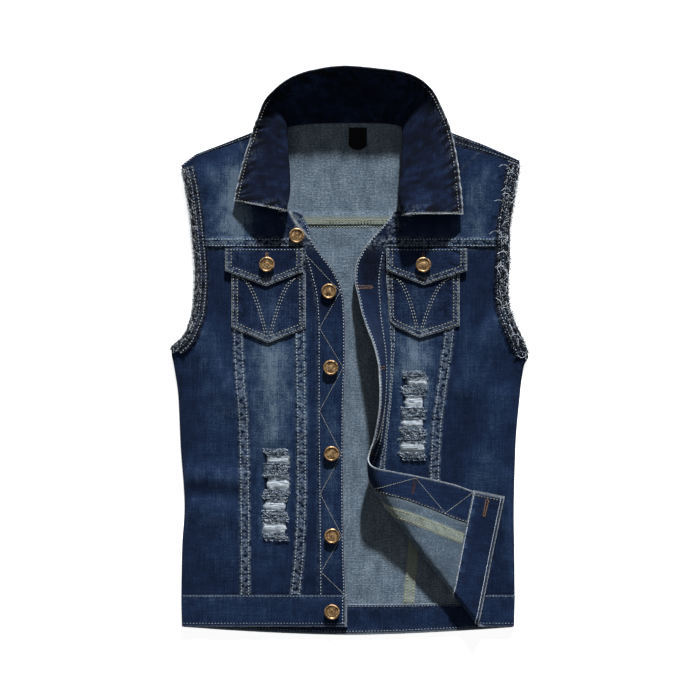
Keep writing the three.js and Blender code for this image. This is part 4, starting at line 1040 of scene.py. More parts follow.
# %% Armhole strips and label
TRIM_WIDTH = 17
TRIM_OVERHANG = 1.6
TRIM_LIFT = DENIM / 2 + FELL_RISE + SEAM_GAP + TRIM_CLOTH / 2
TRIMS = {"left": (left_outline, 0, 232), "right": (right_outline, -4, 236)}
LABEL_CLOTH = 0.9
LABEL = {"left": -1.5, "right": 21.5, "top": 285, "bottom": 256}


def armhole_place(side, across, y):
    """A place on the plan, so many millimetres in from the armhole's outline."""
    outline = TRIMS[side][0]
    dx = outline(y + 3) - outline(y - 3)
    length = np.hypot(dx, 6)
    sign = 1 if side == "left" else -1
    return outline(y) + sign * across * 6 / length, y - sign * across * dx / length


def make_trim(side):
    _, low, high = TRIMS[side]
    us, vs = lines(-TRIM_OVERHANG, TRIM_WIDTH - TRIM_OVERHANG, 1.4), lines(low, high, 1.8)
    plan = lambda u, v: armhole_place(side, u, v)

    def look(x, y):
        grid_u = np.broadcast_to(us, x.shape)
        ragged = grid_u + 1.5 * noise(x, y, 3, 31)
        fade = 0.05 + 0.3 * noise(x, y, 5, 32)
        return np.stack([fade, 0.35 + 0.2 * ramp(9, 4, ragged), 0.5 * ramp(0.5, -1.2, ragged)], -1)

    s = SIDES[side]
    cloth_piece(f"armhole_trim_{side}", us, vs, plan, s["surface"], TRIM_CLOTH, s["seams"],
                lift=TRIM_LIFT, look=look)


def make_label():
    left, right = LABEL["left"], LABEL["right"]
    us, vs = lines(left, right, 0.8), lines(0, 1, 0.04, edges=False)
    x, t = np.meshgrid(us, vs)
    across = (2 * x - left - right) / (right - left)
    y = mix(LABEL["bottom"] + 6 * across**2, LABEL["top"], t)
    lift = DENIM + SEAM_GAP + LABEL_CLOTH + 0.5 * bell(t, 0.08) + 0.25 * np.sin(3 * across + 2 * t)
    outer = np.stack([x, y, lift], -1)
    inner = outer - np.array([0, 0, LABEL_CLOTH])
    xy = np.stack([x, y], -1)
    edge = 0.8 * ramp(0.86, 1.0, np.abs(across)) + 0.5 * bell(t, 0.04)
    piece = shell("cloth_neck_label", outer, inner, xy, np.stack([0 * x, 0 * x, edge], -1))
    keep_cut("neck_label", piece, xy, right - left, LABEL["top"] - LABEL["bottom"])


for side in TRIMS:
    make_trim(side)
make_label()
print("cloth pieces:", len(pieces))

# %% [markdown]
# ## Buttons
#
# A jacket button is a thin metal cap, pressed over a disc and riveted through the cloth. Its rim is
# rolled, a groove runs inside it, and the middle has a pressed pattern: here a plain ring of
# flutes round a domed boss. One function gives the height at each distance and angle, and a fine
# polar grid follows it. Every button is turned a little differently, as they were riveted by hand.

# %% Buttons
BUTTON_RADIUS = 9.8
BUTTON_HEIGHT = 4.6
# Rows of (x, y, seat above the middle of the cloth)
FRONT_BUTTONS = [
    (-68, 146, DENIM / 2 + FELL_RISE), (-27, 75, PLACKET_CLOTH / 2), (-24.5, -22.5, PLACKET_CLOTH / 2),
    (-23.5, -132.5, PLACKET_CLOTH / 2), (-23, -237.5, PLACKET_CLOTH / 2), (-23, -334.5, BAND_CLOTH / 2),
]
FLAP_SEAT = FLAP_PATCH_LIFT + FLAP_CLOTH / 2
AROUND = 72
# The cap's turned edge and the shank under it, as (radius, height)
BUTTON_SIDE = [
    (9.65, 3.7), (BUTTON_RADIUS, 3.1), (9.7, 2.5), (9.0, 1.7), (8.2, 1.5), (4.4, 1.4), (4.2, 1.2), (4.2, 0),
    (0.01, 0),
]


def cap_height(r, angle):
    """Height of the cap's face at a distance from its middle and an angle."""
    rim = 0.9 * bell(r - 8.3, 0.9)
    groove = -0.35 * bell(r - 6.9, 0.45)
    flutes = 0.28 * np.cos(18 * angle) * ramp(3.4, 4.2, r) * ramp(6.6, 5.8, r)
    boss = 0.55 * np.clip(1 - (r / 3.3) ** 2, 0, 1) ** 0.5
    dent = 0.12 * noise(40 * np.cos(angle) * r / 10, 40 * np.sin(angle) * r / 10, 9, 41)
    return BUTTON_HEIGHT - 1.05 + rim + groove + flutes + boss + dent


def ring(r, angle, z):
    """Points round the button's axis at a radius and a height."""
    return np.stack([r * np.cos(angle), r * np.sin(angle), z + 0 * angle], -1)


def make_button(node, surface, x, y, seat, turn):
    angle = np.linspace(0, 2 * math.pi, AROUND, endpoint=False) + turn
    rings = [ring(0, angle, cap_height(0, turn))]
    rings += [ring(r, angle, cap_height(r, angle)) for r in (*np.linspace(0.5, 8.9, 24), 9.3)]
    rings += [ring(r, angle, z) for r, z in BUTTON_SIDE]
    x, y = np.array(float(x)), np.array(float(y))
    normal = facing(surface, x, y)
    side_way = unit(np.cross([0.0, 1.0, 0.0], normal))
    axes = np.array([side_way, np.cross(normal, side_way), normal])
    foot = surface(x, y) + normal * (seat + SEAM_GAP)
    placed = (foot + np.array(rings) @ axes + CENTRING) / 1000
    work = bmesh.new()
    grid = [[work.verts.new(p) for p in ring_points] for ring_points in placed[1:-1]]
    top, foot_vert = work.verts.new(placed[0, 0]), work.verts.new(placed[-1, 0])
    for j in range(AROUND):
        k = (j + 1) % AROUND
        work.faces.new([top, grid[0][j], grid[0][k]])
        work.faces.new([foot_vert, grid[-1][k], grid[-1][j]])
        for one, other in zip(grid[:-1], grid[1:]):
            work.faces.new([one[j], other[j], other[k], one[k]])
    mesh = bpy.data.meshes.new(node)
    work.to_mesh(mesh)
    work.free()
    mesh.polygons.foreach_set("use_smooth", np.ones(len(mesh.polygons), bool))
    pieces[node] = add_object("metal_" + node, mesh)


for i, (x, y, seat) in enumerate(FRONT_BUTTONS):
    make_button(f"button_{i + 1}", left_front, x, y, seat, 0.7 * i)
make_button("flap_button_left", left_front, -106, 109, FLAP_SEAT, 0.3)
make_button("flap_button_right", right_front, 93.5, 108.5, FLAP_SEAT, 1.1)
print("buttons:", len(FRONT_BUTTONS) + 2, "of", 2 * BUTTON_RADIUS, "mm")

# %% [markdown]
# ## Denim as a material
#
# In denim's twill, each blue warp thread passes over two or three pale weft threads, so the outside
# shows blue with fine slanting lines, and the inside shows the pale weft. The dye sits only on the
# skin of the warp, and rubbing takes it off: first along uneven threads, in upright streaks, then
# in patches. All of that follows the cloth and not the room, so every pattern reads the plan's UV
# map, in metres. A photo texture would bring one pattern; noise and waves can be set by size.

# %% Helpers for materials
CLOTH_GLOSS = 0.08
METAL_GLOSS = 0.5


def srgb(r, g, b):
    """A colour given as 0 to 255 on the screen, as Blender's linear values."""
    c = np.array([r, g, b]) / 255
    c = np.where(c <= 0.04045, c / 12.92, ((c + 0.055) / 1.055) ** 2.4)
    return (*c.tolist(), 1.0)


def add_node(tree, kind, given=None, **settings):
    """Adds a node, sets its properties, and fills its inputs with values or links."""
    node = tree.nodes.new(kind)
    for key, value in settings.items():
        setattr(node, key, value)
    for key, value in (given or {}).items():
        if isinstance(value, bpy.types.NodeSocket):
            tree.links.new(value, node.inputs[key])
        else:
            node.inputs[key].default_value = value
    return node


class Finish:
    """A material under construction. Each method adds one node and returns its output."""

    def __init__(self, name):
        self.material = bpy.data.materials.new(name)
        self.material.use_nodes = True
        self.tree = self.material.node_tree
        self.shader = self.tree.nodes["Principled BSDF"]

    def node(self, kind, given=None, **settings):
        return add_node(self.tree, kind, given, **settings).outputs

    def plan(self, scale, turn=0.0):
        """The cloth's own metres, stretched by a scale and turned."""
        uv = self.node("ShaderNodeUVMap", uv_map="plan")["UV"]
        given = {"Vector": uv, "Scale": scale, "Rotation": (0, 0, turn)}
        return self.node("ShaderNodeMapping", given)["Vector"]

    def place(self, scale):
        """The object's own metres, for pieces without a plan."""
        where = self.node("ShaderNodeTexCoord")["Object"]
        return self.node("ShaderNodeMapping", {"Vector": where, "Scale": scale})["Vector"]

    def look(self):
        """Fade with painted shade and highlight, roping and edge wear, as the piece's mesh holds them."""
        attribute = self.node("ShaderNodeAttribute", attribute_name="look")["Color"]
        return self.node("ShaderNodeSeparateColor", {"Color": attribute})

    def noise(self, vector, scale=1.0, detail=2.0):
        return self.node("ShaderNodeTexNoise", {"Vector": vector, "Scale": scale, "Detail": detail})["Fac"]

    def twill(self, pitch, turn):
        """Slanting lines with one line each pitch, in metres."""
        given = {"Vector": self.plan((1, 1, 1), turn), "Scale": 0.314 / pitch, "Distortion": 1.2}
        return self.node("ShaderNodeTexWave", {**given, "Detail Scale": 1.5})["Fac"]

    def value(self, operation, *given):
        return self.node("ShaderNodeMath", dict(enumerate(given)), operation=operation)["Value"]

    def span(self, given, lo, hi, to_lo=0.0, to_hi=1.0):
        limits = {"From Min": lo, "From Max": hi, "To Min": to_lo, "To Max": to_hi}
        return self.node("ShaderNodeMapRange", {"Value": given, **limits})["Result"]

    def colours(self, given, stops):
        """A colour ramp of (place, colour) stops."""
        node = add_node(self.tree, "ShaderNodeValToRGB", {"Fac": given})
        ramp_stops = node.color_ramp.elements
        while len(ramp_stops) < len(stops):
            ramp_stops.new(0.5)
        for stop, (place, colour) in zip(ramp_stops, stops):
            stop.position = place
            stop.color = srgb(*colour)
        return node.outputs["Color"]

    def blend(self, share, below, colour):
        """Colour laid over what is below by a share."""
        return self.node("ShaderNodeMix", {"Factor": share, 6: below, 7: srgb(*colour)}, data_type="RGBA")[2]

    def relief(self, height, depth):
        given = {"Strength": 1.0, "Distance": depth, "Height": height}
        self.tree.links.new(self.node("ShaderNodeBump", given)["Normal"], self.shader.inputs["Normal"])

    def done(self, colour, roughness, sheen=0.0, metallic=0.0):
        sockets = self.shader.inputs
        self.tree.links.new(colour, sockets["Base Color"])
        if isinstance(roughness, float):
            sockets["Roughness"].default_value = roughness
        else:
            self.tree.links.new(roughness, sockets["Roughness"])
        sockets["Sheen Weight"].default_value = sheen
        sockets["Metallic"].default_value = metallic
        sockets["Specular IOR Level"].default_value = CLOTH_GLOSS if metallic == 0 else METAL_GLOSS
        return self.material


print("helpers ready")

# %% [markdown]
# The outside adds these up: the fade of the wash with its painted shade and highlight, upright
# streaks of uneven warp, level ones of the weft, cloudy mottle, fine grain, and the twill's own
# lines. The sum picks the colour from deep indigo to pale blue. Along the seams the puckers'
# ridges are rubbed pale and their hollows stay dark, a few millimetres apart, and worn edges show
# the undyed core of the warp.

# %% Right side, wrong side and cut edges of denim
TWILL_PITCH = 0.0011


def denim(name, stops, contrast=1.0, rope_colour=(124, 138, 150), edge_colour=(186, 196, 203)):
    f = Finish(name)
    fade_with_painted_light, rope, edge = f.look()
    warp = f.noise(f.plan((620, 28, 1)), detail=4)
    weft = f.noise(f.plan((26, 560, 1)), detail=3)
    cloud = f.noise(f.plan((1, 1, 1)), 85, 5)
    grain = f.noise(f.plan((1, 0.8, 1)), 620, 2)
    twill = f.twill(TWILL_PITCH, math.radians(28))
    total = fade_with_painted_light
    # Worn cloth shows its threads more
    strength = f.span(fade_with_painted_light, 0.0, 0.6, 0.6 * contrast, 1.35 * contrast)
    for pattern, share in [(warp, 0.6), (weft, 0.4), (cloud, 0.38), (grain, 0.9), (twill, 0.1)]:
        centred = f.value("MULTIPLY", f.value("SUBTRACT", pattern, 0.5), share)
        total = f.value("MULTIPLY_ADD", centred, strength, total)
    pucker = f.noise(f.plan((0.8, 1.1, 1)), 230, 3)
    hollow = f.value("MULTIPLY", rope, f.span(pucker, 0.5, 0.36))
    total = f.value("MULTIPLY_ADD", hollow, -0.36, total)
    colour = f.colours(f.span(total, -0.2, 1.0), stops)
    flecks = f.span(f.noise(f.plan((1, 1, 1)), 520, 3), 0.3, 0.6)
    ridge = f.value("MULTIPLY", f.span(pucker, 0.42, 0.6, 0.0, 0.85), flecks)
    colour = f.blend(f.value("MULTIPLY", rope, ridge), colour, rope_colour)
    worn = f.span(f.noise(f.plan((1, 1, 1)), 420, 2), 0.3, 0.6, 0.35, 1.0)
    colour = f.blend(f.value("MULTIPLY", edge, worn), colour, edge_colour)
    threads_height = f.value("MULTIPLY_ADD", warp, 0.5, f.value("ADD", twill, grain))
    f.relief(f.value("MULTIPLY_ADD", f.value("MULTIPLY", rope, pucker), 2.4, threads_height), 0.0004)
    return f.done(colour, f.span(grain, 0.3, 0.7, 0.82, 0.95), sheen=0.015)


# Places run from 0, which is a hollow never rubbed, to 1, which is nearly worn through
INDIGO = [
    (0.0, (8, 14, 28)), (0.2, (19, 34, 62)), (0.4, (31, 50, 82)),
    (0.7, (62, 82, 108)), (1.0, (104, 122, 141)),
]
DEEP_INDIGO = [(0.0, (5, 9, 20)), (0.25, (13, 24, 48)), (0.5, (26, 43, 74)), (1.0, (62, 80, 108))]
PALE_SIDE = [(0.0, (70, 84, 98)), (0.5, (97, 112, 126)), (1.0, (130, 143, 154))]

body_denim = denim("denim_right_side", INDIGO)
deep_denim = denim("denim_deep", DEEP_INDIGO, contrast=1.2, rope_colour=(126, 138, 148))
strip_denim = denim("denim_raw_strip", DEEP_INDIGO, rope_colour=(124, 132, 140), contrast=1.8)


def wrong_side(name, middle):
    f = Finish(name)
    _, rope, edge = f.look()
    slub = f.noise(f.plan((50, 700, 1)), detail=3)
    warp = f.noise(f.plan((500, 30, 1)), detail=3)
    cloud = f.noise(f.plan((1.6, 0.7, 1)), 45, 4)
    grain = f.noise(f.plan((0.8, 1, 1)), 480, 2)
    total = middle
    for pattern, share in [(slub, 0.7), (warp, 0.7), (cloud, 1.0), (grain, 1.9)]:
        total = f.value("MULTIPLY_ADD", f.value("SUBTRACT", pattern, 0.5), share, total)
    colour = f.colours(total, PALE_SIDE)
    flecks = f.span(f.noise(f.plan((1, 1, 1)), 400, 2), 0.3, 0.6, 0.35, 1.0)
    colour = f.blend(f.value("MULTIPLY", rope, flecks), colour, (128, 136, 124))
    colour = f.blend(f.value("MULTIPLY", edge, 0.7), colour, (160, 168, 174))
    f.relief(f.value("ADD", slub, grain), 0.0003)
    return f.done(colour, 0.92, sheen=0.03)


inside_denim = wrong_side("denim_wrong_side", 0.44)
turned_denim = wrong_side("denim_turned_back", 0.1)
cut_edge = denim("denim_cut_edge", [(0.0, (52, 66, 86)), (0.5, (96, 110, 124)), (1.0, (150, 158, 164))])
print("denim finishes:", len(bpy.data.materials))

# %% [markdown]
# The small finishes are thread, the bare weft, black tape and metal. A thread's noise reads the
# object's own metres, because tubes have no plan. The buttons are copper-coloured metal that was
# darkened on purpose and then rubbed. Noise at two sizes gives such a film, dark in places and
# bright in others, and the pressed relief does the rest with its own shadows.

# %% Thread, weft, tape and metal
def thread(name, colour, pale, size=900.0, stretch=(1, 1, 1)):
    f = Finish(name)
    fibres = f.noise(f.place(stretch), size, 2)
    f.relief(fibres, 0.0002)
    return f.done(f.colours(fibres, [(0.3, colour), (0.7, pale)]), 0.9, sheen=0.1)


dim_thread = thread("thread_dim", (94, 108, 124), (144, 158, 172))
# painted shade: a dark thread for the collar's row behind the neck, standing in for the collar's shade
collar_back_shade_thread = thread("thread_collar_back_shade", (18, 26, 44), (44, 58, 82))
pale_thread = thread("thread_pale", (142, 158, 172), (188, 203, 215))
khaki_thread = thread("thread_khaki", (134, 140, 136), (184, 188, 180))
tan_thread = thread("thread_tan", (134, 132, 108), (182, 178, 150))
copper_thread = thread("thread_copper", (112, 86, 64), (170, 134, 100))
bronze_thread = thread("thread_bronze", (52, 40, 34), (96, 74, 56))
weft_thread = thread("thread_weft", (124, 140, 157), (230, 240, 247), 700.0, (0.12, 1.4, 1))
tuft_thread = thread("thread_tuft", (24, 36, 54), (124, 143, 165), 300.0)
fray_thread = thread("thread_fray", (112, 120, 130), (214, 218, 222), 160.0)
dark_fray_thread = thread("thread_fray_dark", (14, 19, 30), (44, 54, 72), 160.0)


def make_tape():
    f = Finish("tape_black")
    ribs = f.noise(f.plan((300, 1500, 1)), detail=2)
    f.relief(ribs, 0.0003)
    return f.done(f.colours(ribs, [(0.2, (7, 8, 11)), (0.8, (24, 26, 31))]), 0.8)


def make_metal():
    f = Finish("metal_old_copper")
    spots = f.noise(f.place((1, 1, 1)), 420, 4)
    film = f.noise(f.place((1, 1, 1)), 150, 3)
    total = f.value("MULTIPLY_ADD", spots, 0.7, f.value("MULTIPLY", film, 0.5))
    stops = [(0.42, (46, 32, 20)), (0.56, (116, 88, 56)), (0.72, (182, 150, 106)), (1.0, (222, 198, 154))]
    f.relief(spots, 0.00012)
    return f.done(f.colours(total, stops), f.span(spots, 0.3, 0.7, 0.55, 0.42), metallic=0.45)


black_tape = make_tape()
old_copper = make_metal()
print("materials:", len(bpy.data.materials))

# %% [markdown]
# Each piece gets its outside, its inside and its cut edge, in the order of its three slots.

# %% Dress the pieces
DEEP = ["collar", "pocket_left", "pocket_right", "pocket_flap_left", "pocket_flap_right"]
for node, piece in pieces.items():
    face = deep_denim if node in DEEP else body_denim
    if node.startswith("button") or node.startswith("flap_button"):
        slots = [old_copper]
    elif node == "neck_label":
        slots = [black_tape] * 3
    elif node.startswith("armhole"):
        slots = [strip_denim, inside_denim, cut_edge]
    elif "centre_panel" in node and node.startswith("front"):
        slots = [face, turned_denim, cut_edge]  # only these are cut through, at their worn windows
    elif node == "collar" or "placket" in node or "waistband" in node:
        slots = [face, face, face]  # folded double, so the right side shows inside as well
    else:
        slots = [face, turned_denim, face]
    for material in slots:
        piece.data.materials.append(material)

# The inside of the back is what faces up
for node in ["back_yoke", "back_centre_panel", "back_left_side_panel", "back_right_side_panel"]:
    materials = pieces[node].data.materials
    materials[0], materials[1] = inside_denim, body_denim
print("dressed:", len(pieces))

# %% [markdown]
# ## Rows of stitches
#
# A seam on a jacket shows as rows of short raised stitches of heavy thread, one every four
# millimetres. Drawn in the material they would look flat from the side, and modelled one by one they
# would never end. Geometry Nodes are made for this: a row is a plain line of points that know which
# way is up, and one node tree sets a stitch at every step along each line. Only the lines are
# different from seam to seam.

# %% A tree that sews
STITCH_STEP = 0.0040
STITCH_LENGTH = 0.0024
STITCH_WIDTH = 0.0011


def new_tree(name, sockets):
    """A node tree with a geometry input, named inputs with defaults, and a geometry output."""
    tree = bpy.data.node_groups.new(name, "GeometryNodeTree")
    tree.interface.new_socket(name="Geometry", in_out="INPUT", socket_type="NodeSocketGeometry")
    for label, kind, default in sockets:
        socket = tree.interface.new_socket(name=label, in_out="INPUT", socket_type=kind)
        if default is not None:
            socket.default_value = default
    tree.interface.new_socket(name="Geometry", in_out="OUTPUT", socket_type="NodeSocketGeometry")
    return tree


def vector(tree, **parts):
    return add_node(tree, "ShaderNodeCombineXYZ", parts).outputs["Vector"]


def number(tree, operation, a, b):
    return add_node(tree, "ShaderNodeMath", {0: a, 1: b}, operation=operation).outputs["Value"]


def random_number(tree, lo, hi, seed):
    node = add_node(tree, "FunctionNodeRandomValue", {2: lo, 3: hi, "Seed": seed}, data_type="FLOAT")
    return node.outputs[1]


def named_vector(tree, name):
    node = add_node(tree, "GeometryNodeInputNamedAttribute", {"Name": name}, data_type="FLOAT_VECTOR")
    return node.outputs["Attribute"]


def turned_along(tree, along, up):
    """A rotation that points X along one named vector and Z along another."""
    kind = "FunctionNodeAlignRotationToVector"
    first = add_node(tree, kind, {"Vector": named_vector(tree, along)}, axis="X")
    given = {"Rotation": first.outputs["Rotation"], "Vector": named_vector(tree, up)}
    return add_node(tree, kind, given, axis="Z", pivot_axis="X").outputs["Rotation"]


def leaned(tree, rotation, euler):
    """A rotation turned on, about its own directions."""
    more = add_node(tree, "FunctionNodeEulerToRotation", {"Euler": euler}).outputs["Rotation"]
    given = {"Rotation": rotation, "Rotate By": more}
    return add_node(tree, "FunctionNodeRotateRotation", given, rotation_space="LOCAL").outputs["Rotation"]


def scaled(tree, geometry, size):
    return add_node(tree, "GeometryNodeTransform", {"Geometry": geometry, "Scale": size}).outputs["Geometry"]


def tube_along(tree, curve, section):
    given = {"Curve": curve, "Profile Curve": section, "Fill Caps": True}
    return add_node(tree, "GeometryNodeCurveToMesh", given).outputs["Mesh"]


def as_curve(tree, given):
    return add_node(tree, "GeometryNodeMeshToCurve", {"Mesh": given["Geometry"]}).outputs["Curve"]


def set_along(tree, given, thing, rotation, size):
    """A thing at every step along the lines that come in."""
    inputs = {"Curve": as_curve(tree, given), "Length": given["Step"]}
    points = add_node(tree, "GeometryNodeResampleCurve", inputs, mode="LENGTH").outputs["Curve"]
    inputs = {"Points": points, "Instance": thing, "Rotation": rotation, "Scale": size}
    return add_node(tree, "GeometryNodeInstanceOnPoints", inputs).outputs["Instances"]


def finish_tree(tree, instances, material):
    real = add_node(tree, "GeometryNodeRealizeInstances", {"Geometry": instances}).outputs["Geometry"]
    smooth = add_node(tree, "GeometryNodeSetShadeSmooth", {"Geometry": real}).outputs["Geometry"]
    dressed = add_node(tree, "GeometryNodeSetMaterial", {"Geometry": smooth, "Material": material})
    add_node(tree, "NodeGroupOutput", {"Geometry": dressed.outputs["Geometry"]})
    return tree


def make_stitch_tree():
    tree = new_tree("stitch_rows", [
        ("Step", "NodeSocketFloat", STITCH_STEP), ("Length", "NodeSocketFloat", STITCH_LENGTH),
        ("Width", "NodeSocketFloat", STITCH_WIDTH), ("Thread", "NodeSocketMaterial", None),
    ])
    given = add_node(tree, "NodeGroupInput").outputs
    ball = add_node(tree, "GeometryNodeMeshUVSphere", {"Segments": 6, "Rings": 4, "Radius": 0.5})
    size = vector(tree, X=given["Length"], Y=given["Width"], Z=given["Width"])
    stitch = scaled(tree, ball.outputs["Mesh"], size)
    lean = vector(tree, Z=random_number(tree, -0.14, 0.14, 3))
    turn = leaned(tree, turned_along(tree, "run", "up"), lean)
    stretch = vector(tree, X=random_number(tree, 0.8, 1.12, 4), Y=1.0, Z=1.0)
    return finish_tree(tree, set_along(tree, given, stitch, turn, stretch), given["Thread"])


def line_mesh(name, rows):
    """One mesh of separate lines. Each row is (points, up, along), in the finished frame's metres."""
    points = np.concatenate([row[0] for row in rows])
    counts = [len(row[0]) for row in rows]
    starts = np.cumsum([0] + counts[:-1])
    steps = [np.stack([np.arange(n - 1), np.arange(1, n)], -1) + start for start, n in zip(starts, counts)]
    edges = np.concatenate(steps)
    mesh = bpy.data.meshes.new(name)
    mesh.vertices.add(len(points))
    mesh.vertices.foreach_set("co", points.ravel())
    mesh.edges.add(len(edges))
    mesh.edges.foreach_set("vertices", edges.ravel())
    for label, index in (("up", 1), ("run", 2)):
        attribute = mesh.attributes.new(label, "FLOAT_VECTOR", "POINT")
        attribute.data.foreach_set("vector", np.concatenate([row[index] for row in rows]).ravel())
    return mesh


def grow(name, tree, rows, **inputs):
    """Runs a tree on rows and keeps the result as a plain mesh at the origin."""
    line = add_object(name + "_lines", line_mesh(name + "_lines", rows))
    modifier = line.modifiers.new("grow", "NODES")
    modifier.node_group = tree
    for item in tree.interface.items_tree:
        if item.in_out == "INPUT" and item.name in inputs:
            modifier[item.identifier] = inputs[item.name]
    evaluated = line.evaluated_get(bpy.context.evaluated_depsgraph_get())
    mesh = bpy.data.meshes.new_from_object(evaluated)
    mesh.name = name
    bpy.data.objects.remove(line)
    return add_object(name, mesh)


def runs(points):
    """The direction along a line at each of its points."""
    return unit(np.gradient(points, axis=0))


stitch_tree = make_stitch_tree()
print("inputs:", [item.name for item in stitch_tree.interface.items_tree if item.in_out == "INPUT"])

# %% [markdown]
# Next come the lines. Most follow a seam at a fixed distance, so a row is a seam, an offset and two
# heights. A row is first drawn on the plan and then laid with its cloth, at the height of the
# cloth's face. Stitches go through the whole cloth, so where the corner is turned back the same
# rows are laid once more on the inside, which is the side that shows there.

# %% Rows on the plan
ROW_STEP = 2.5
THREAD_RISE = 0.1  # a stitch's middle lies this far above the cloth's face
BOLD_RISE = 0.15
rows = {}


def dense(path, count=None):
    """Even points along a path on the plan: a few millimetres apart, or as many as counted."""
    path = np.array(path, float)
    along = np.concatenate([[0], np.cumsum(np.hypot(*np.diff(path, axis=0).T))])
    at = np.linspace(0, along[-1], count or max(3, int(along[-1] / ROW_STEP) + 1))
    return np.interp(at, along, path[:, 0]), np.interp(at, along, path[:, 1])


def in_frame(points):
    return (points + CENTRING) / 1000


def row_of(points, up):
    placed = in_frame(points)
    return placed, up, runs(placed)


def keep_row(target, points, up):
    if len(points) > 2:
        rows.setdefault(target, []).append(row_of(points, up))


def sew(target, surface, seams, path, lift, inner=None):
    """Lays a row on the outer face, and on the inner face where inner says so."""
    x, y = dense(path)
    points, up = laid(surface, x, y, lift, seams)
    keep_row(target, points, up)
    if inner is not None:
        points, up = laid(surface, x, y, -inner, seams)
        over = turned(x, y) > 0
        keep_row(target + "_turned", points[over], -up[over])


def beside(seam, offset, low, high):
    y = np.arange(low, high, 4.0)
    return np.stack([seam(y) + offset, y], -1)


FACE = DENIM / 2 + THREAD_RISE
FELL_FACE = FACE + FELL_RISE
PLACKET_FACE = PLACKET_CLOTH / 2 + THREAD_RISE
BAND_FACE = BAND_CLOTH / 2 + THREAD_RISE
NEAR_ROW, FAR_ROW = 2.6, 11.8
POCKET_FOOT = {"left": 26, "right": 31}


def sew_seams(side):
    s = SIDES[side]
    surface, seams, sign = s["surface"], s["seams"], s["sign"]
    turned_back = side == "right"  # only this front shows its inside
    target = f"stitches_{side}"
    inner = FACE if turned_back else None
    for offset in (NEAR_ROW, FAR_ROW):
        for seam, way in ((s["outer"], sign), (s["inner"], -sign)):
            path = beside(seam, way * offset, BAND_SEAM_Y + 1, POCKET_FOOT[side])
            sew(target, surface, seams, path, FELL_FACE, inner)
    inner = PLACKET_FACE if turned_back else None
    path = beside(s["edge"], sign * 2.7, -120 if turned_back else BAND_SEAM_Y + 1, 172)
    sew(target, surface, seams, path, PLACKET_FACE, inner)
    sew(target, surface, seams, beside(s["placket"], -sign * 1.6, BAND_SEAM_Y + 1, 126), PLACKET_FACE, inner)
    inner = BAND_FACE if turned_back else None
    low, high = (-2, 207) if turned_back else (-212, -8)
    for y in (BAND_SEAM_Y - 2, FRONT_HEM_Y + 4.5):
        sew("stitches_lower_band", surface, BAND_SEAMS, [(low, y), (high, y)], BAND_FACE, inner)
    end = float(s["edge"](BAND_SEAM_Y)) + sign * 4.5
    sew(target, surface, BAND_SEAMS, [(end, BAND_SEAM_Y - 4), (end, FRONT_HEM_Y + 5)], BAND_FACE, inner)
    low, high = ordered(side, s["outline"](137) - sign * 17, s["placket"](137) + sign * 2)
    for y in (YOKE_SEAM_Y + 2.6, YOKE_SEAM_Y + 10.5):
        sew(target, surface, YOKE_SEAMS[side], [(low, y), (high, y)], FELL_FACE)


def sew_zigzag(side):
    """Behind the buttons a zigzag holds the facing: its points are level with the buttons."""
    s = SIDES[side]
    heights = [120, 75, 28, -22.5, -78, -132.5, -184, -237.5, -284, -312]
    if side == "right":
        heights = heights[4:]
    path = []
    for i, y in enumerate(heights):
        x = s["edge"](y) + s["sign"] * 3.2 if i % 2 else s["placket"](y) - s["sign"] * 2.2
        path.append((float(x), y))
    inner = PLACKET_FACE if side == "right" else None
    sew("stitches_zigzag", s["surface"], s["seams"], path, PLACKET_FACE, inner)


for side in SIDES:
    sew_seams(side)
    sew_zigzag(side)
print("rows so far:", {name: len(group) for name, group in rows.items()})

# %% [markdown]
# Pockets carry two rows along their turned edges and a plain pair of curved rows inside, and flaps
# carry two rows along the point. The armhole strips are held by two rows, and each shoulder by two
# more. Threads differ on the real vest: pale blue on the body, duller on the waistband, khaki on
# pockets, zigzags and the collar's ends, and tan inside. Behind the neck the collar's row gets a
# dark thread, which paints the shade it lies in.

# %% Pockets, flaps, strips and shoulders
def shape_path(shape, inset, top):
    """A path round a pointed patch, a distance inside its edge."""
    left, right = shape["left"] + inset, shape["right"] - inset
    xs = np.linspace(left, right, 40)
    low = low_edge(shape, xs) + inset * 1.05
    return [(left, top), *zip(xs, low), (right, top)]


def sew_pocket(side):
    surface, seams = SIDES[side]["surface"], SIDES[side]["seams"]
    face = POCKET_LIFT + POCKET_CLOTH / 2 + THREAD_RISE
    shape = POCKETS[side]
    for inset in (2.4, 7.6):
        sew("stitches_pockets", surface, seams, shape_path(shape, inset, shape["top"]), face)
    tip_x, tip_y = shape["tip"]
    t = np.linspace(0, 1, 24)
    for start, way in ((shape["left"], 1), (shape["right"], -1)):
        for gap in (0, 5.5):
            x = mix(start + way * (10 + gap), tip_x - way * (5 - gap * 0.5), t**0.8)
            y = mix(shape["top"] - 6 - gap * 0.4, tip_y + 14, t**1.5)
            sew("stitches_pockets", surface, seams, np.stack([x, y], -1), face)


def sew_flap(side):
    surface, seams = SIDES[side]["surface"], SIDES[side]["seams"]
    face = FLAP_PATCH_LIFT + FLAP_CLOTH / 2 + THREAD_RISE
    shape = FLAPS[side]
    for inset in (2.4, 7.8):
        sew("stitches_pockets", surface, seams, shape_path(shape, inset, shape["top"] - 2), face)
    y = shape["top"] - 2.2
    sew("stitches_pockets", surface, seams, [(shape["left"] + 3, y), (shape["right"] - 3, y)], face)


def sew_strip(side):
    s = SIDES[side]
    face = TRIM_LIFT + TRIM_CLOTH / 2 + THREAD_RISE
    _, low, high = TRIMS[side]
    y = np.linspace(low + 1, high - 2, 90)
    for across in (7.6, 13.2):
        path = np.stack(armhole_place(side, across, y), -1)
        sew("stitches_strips", s["surface"], s["seams"], path, face)


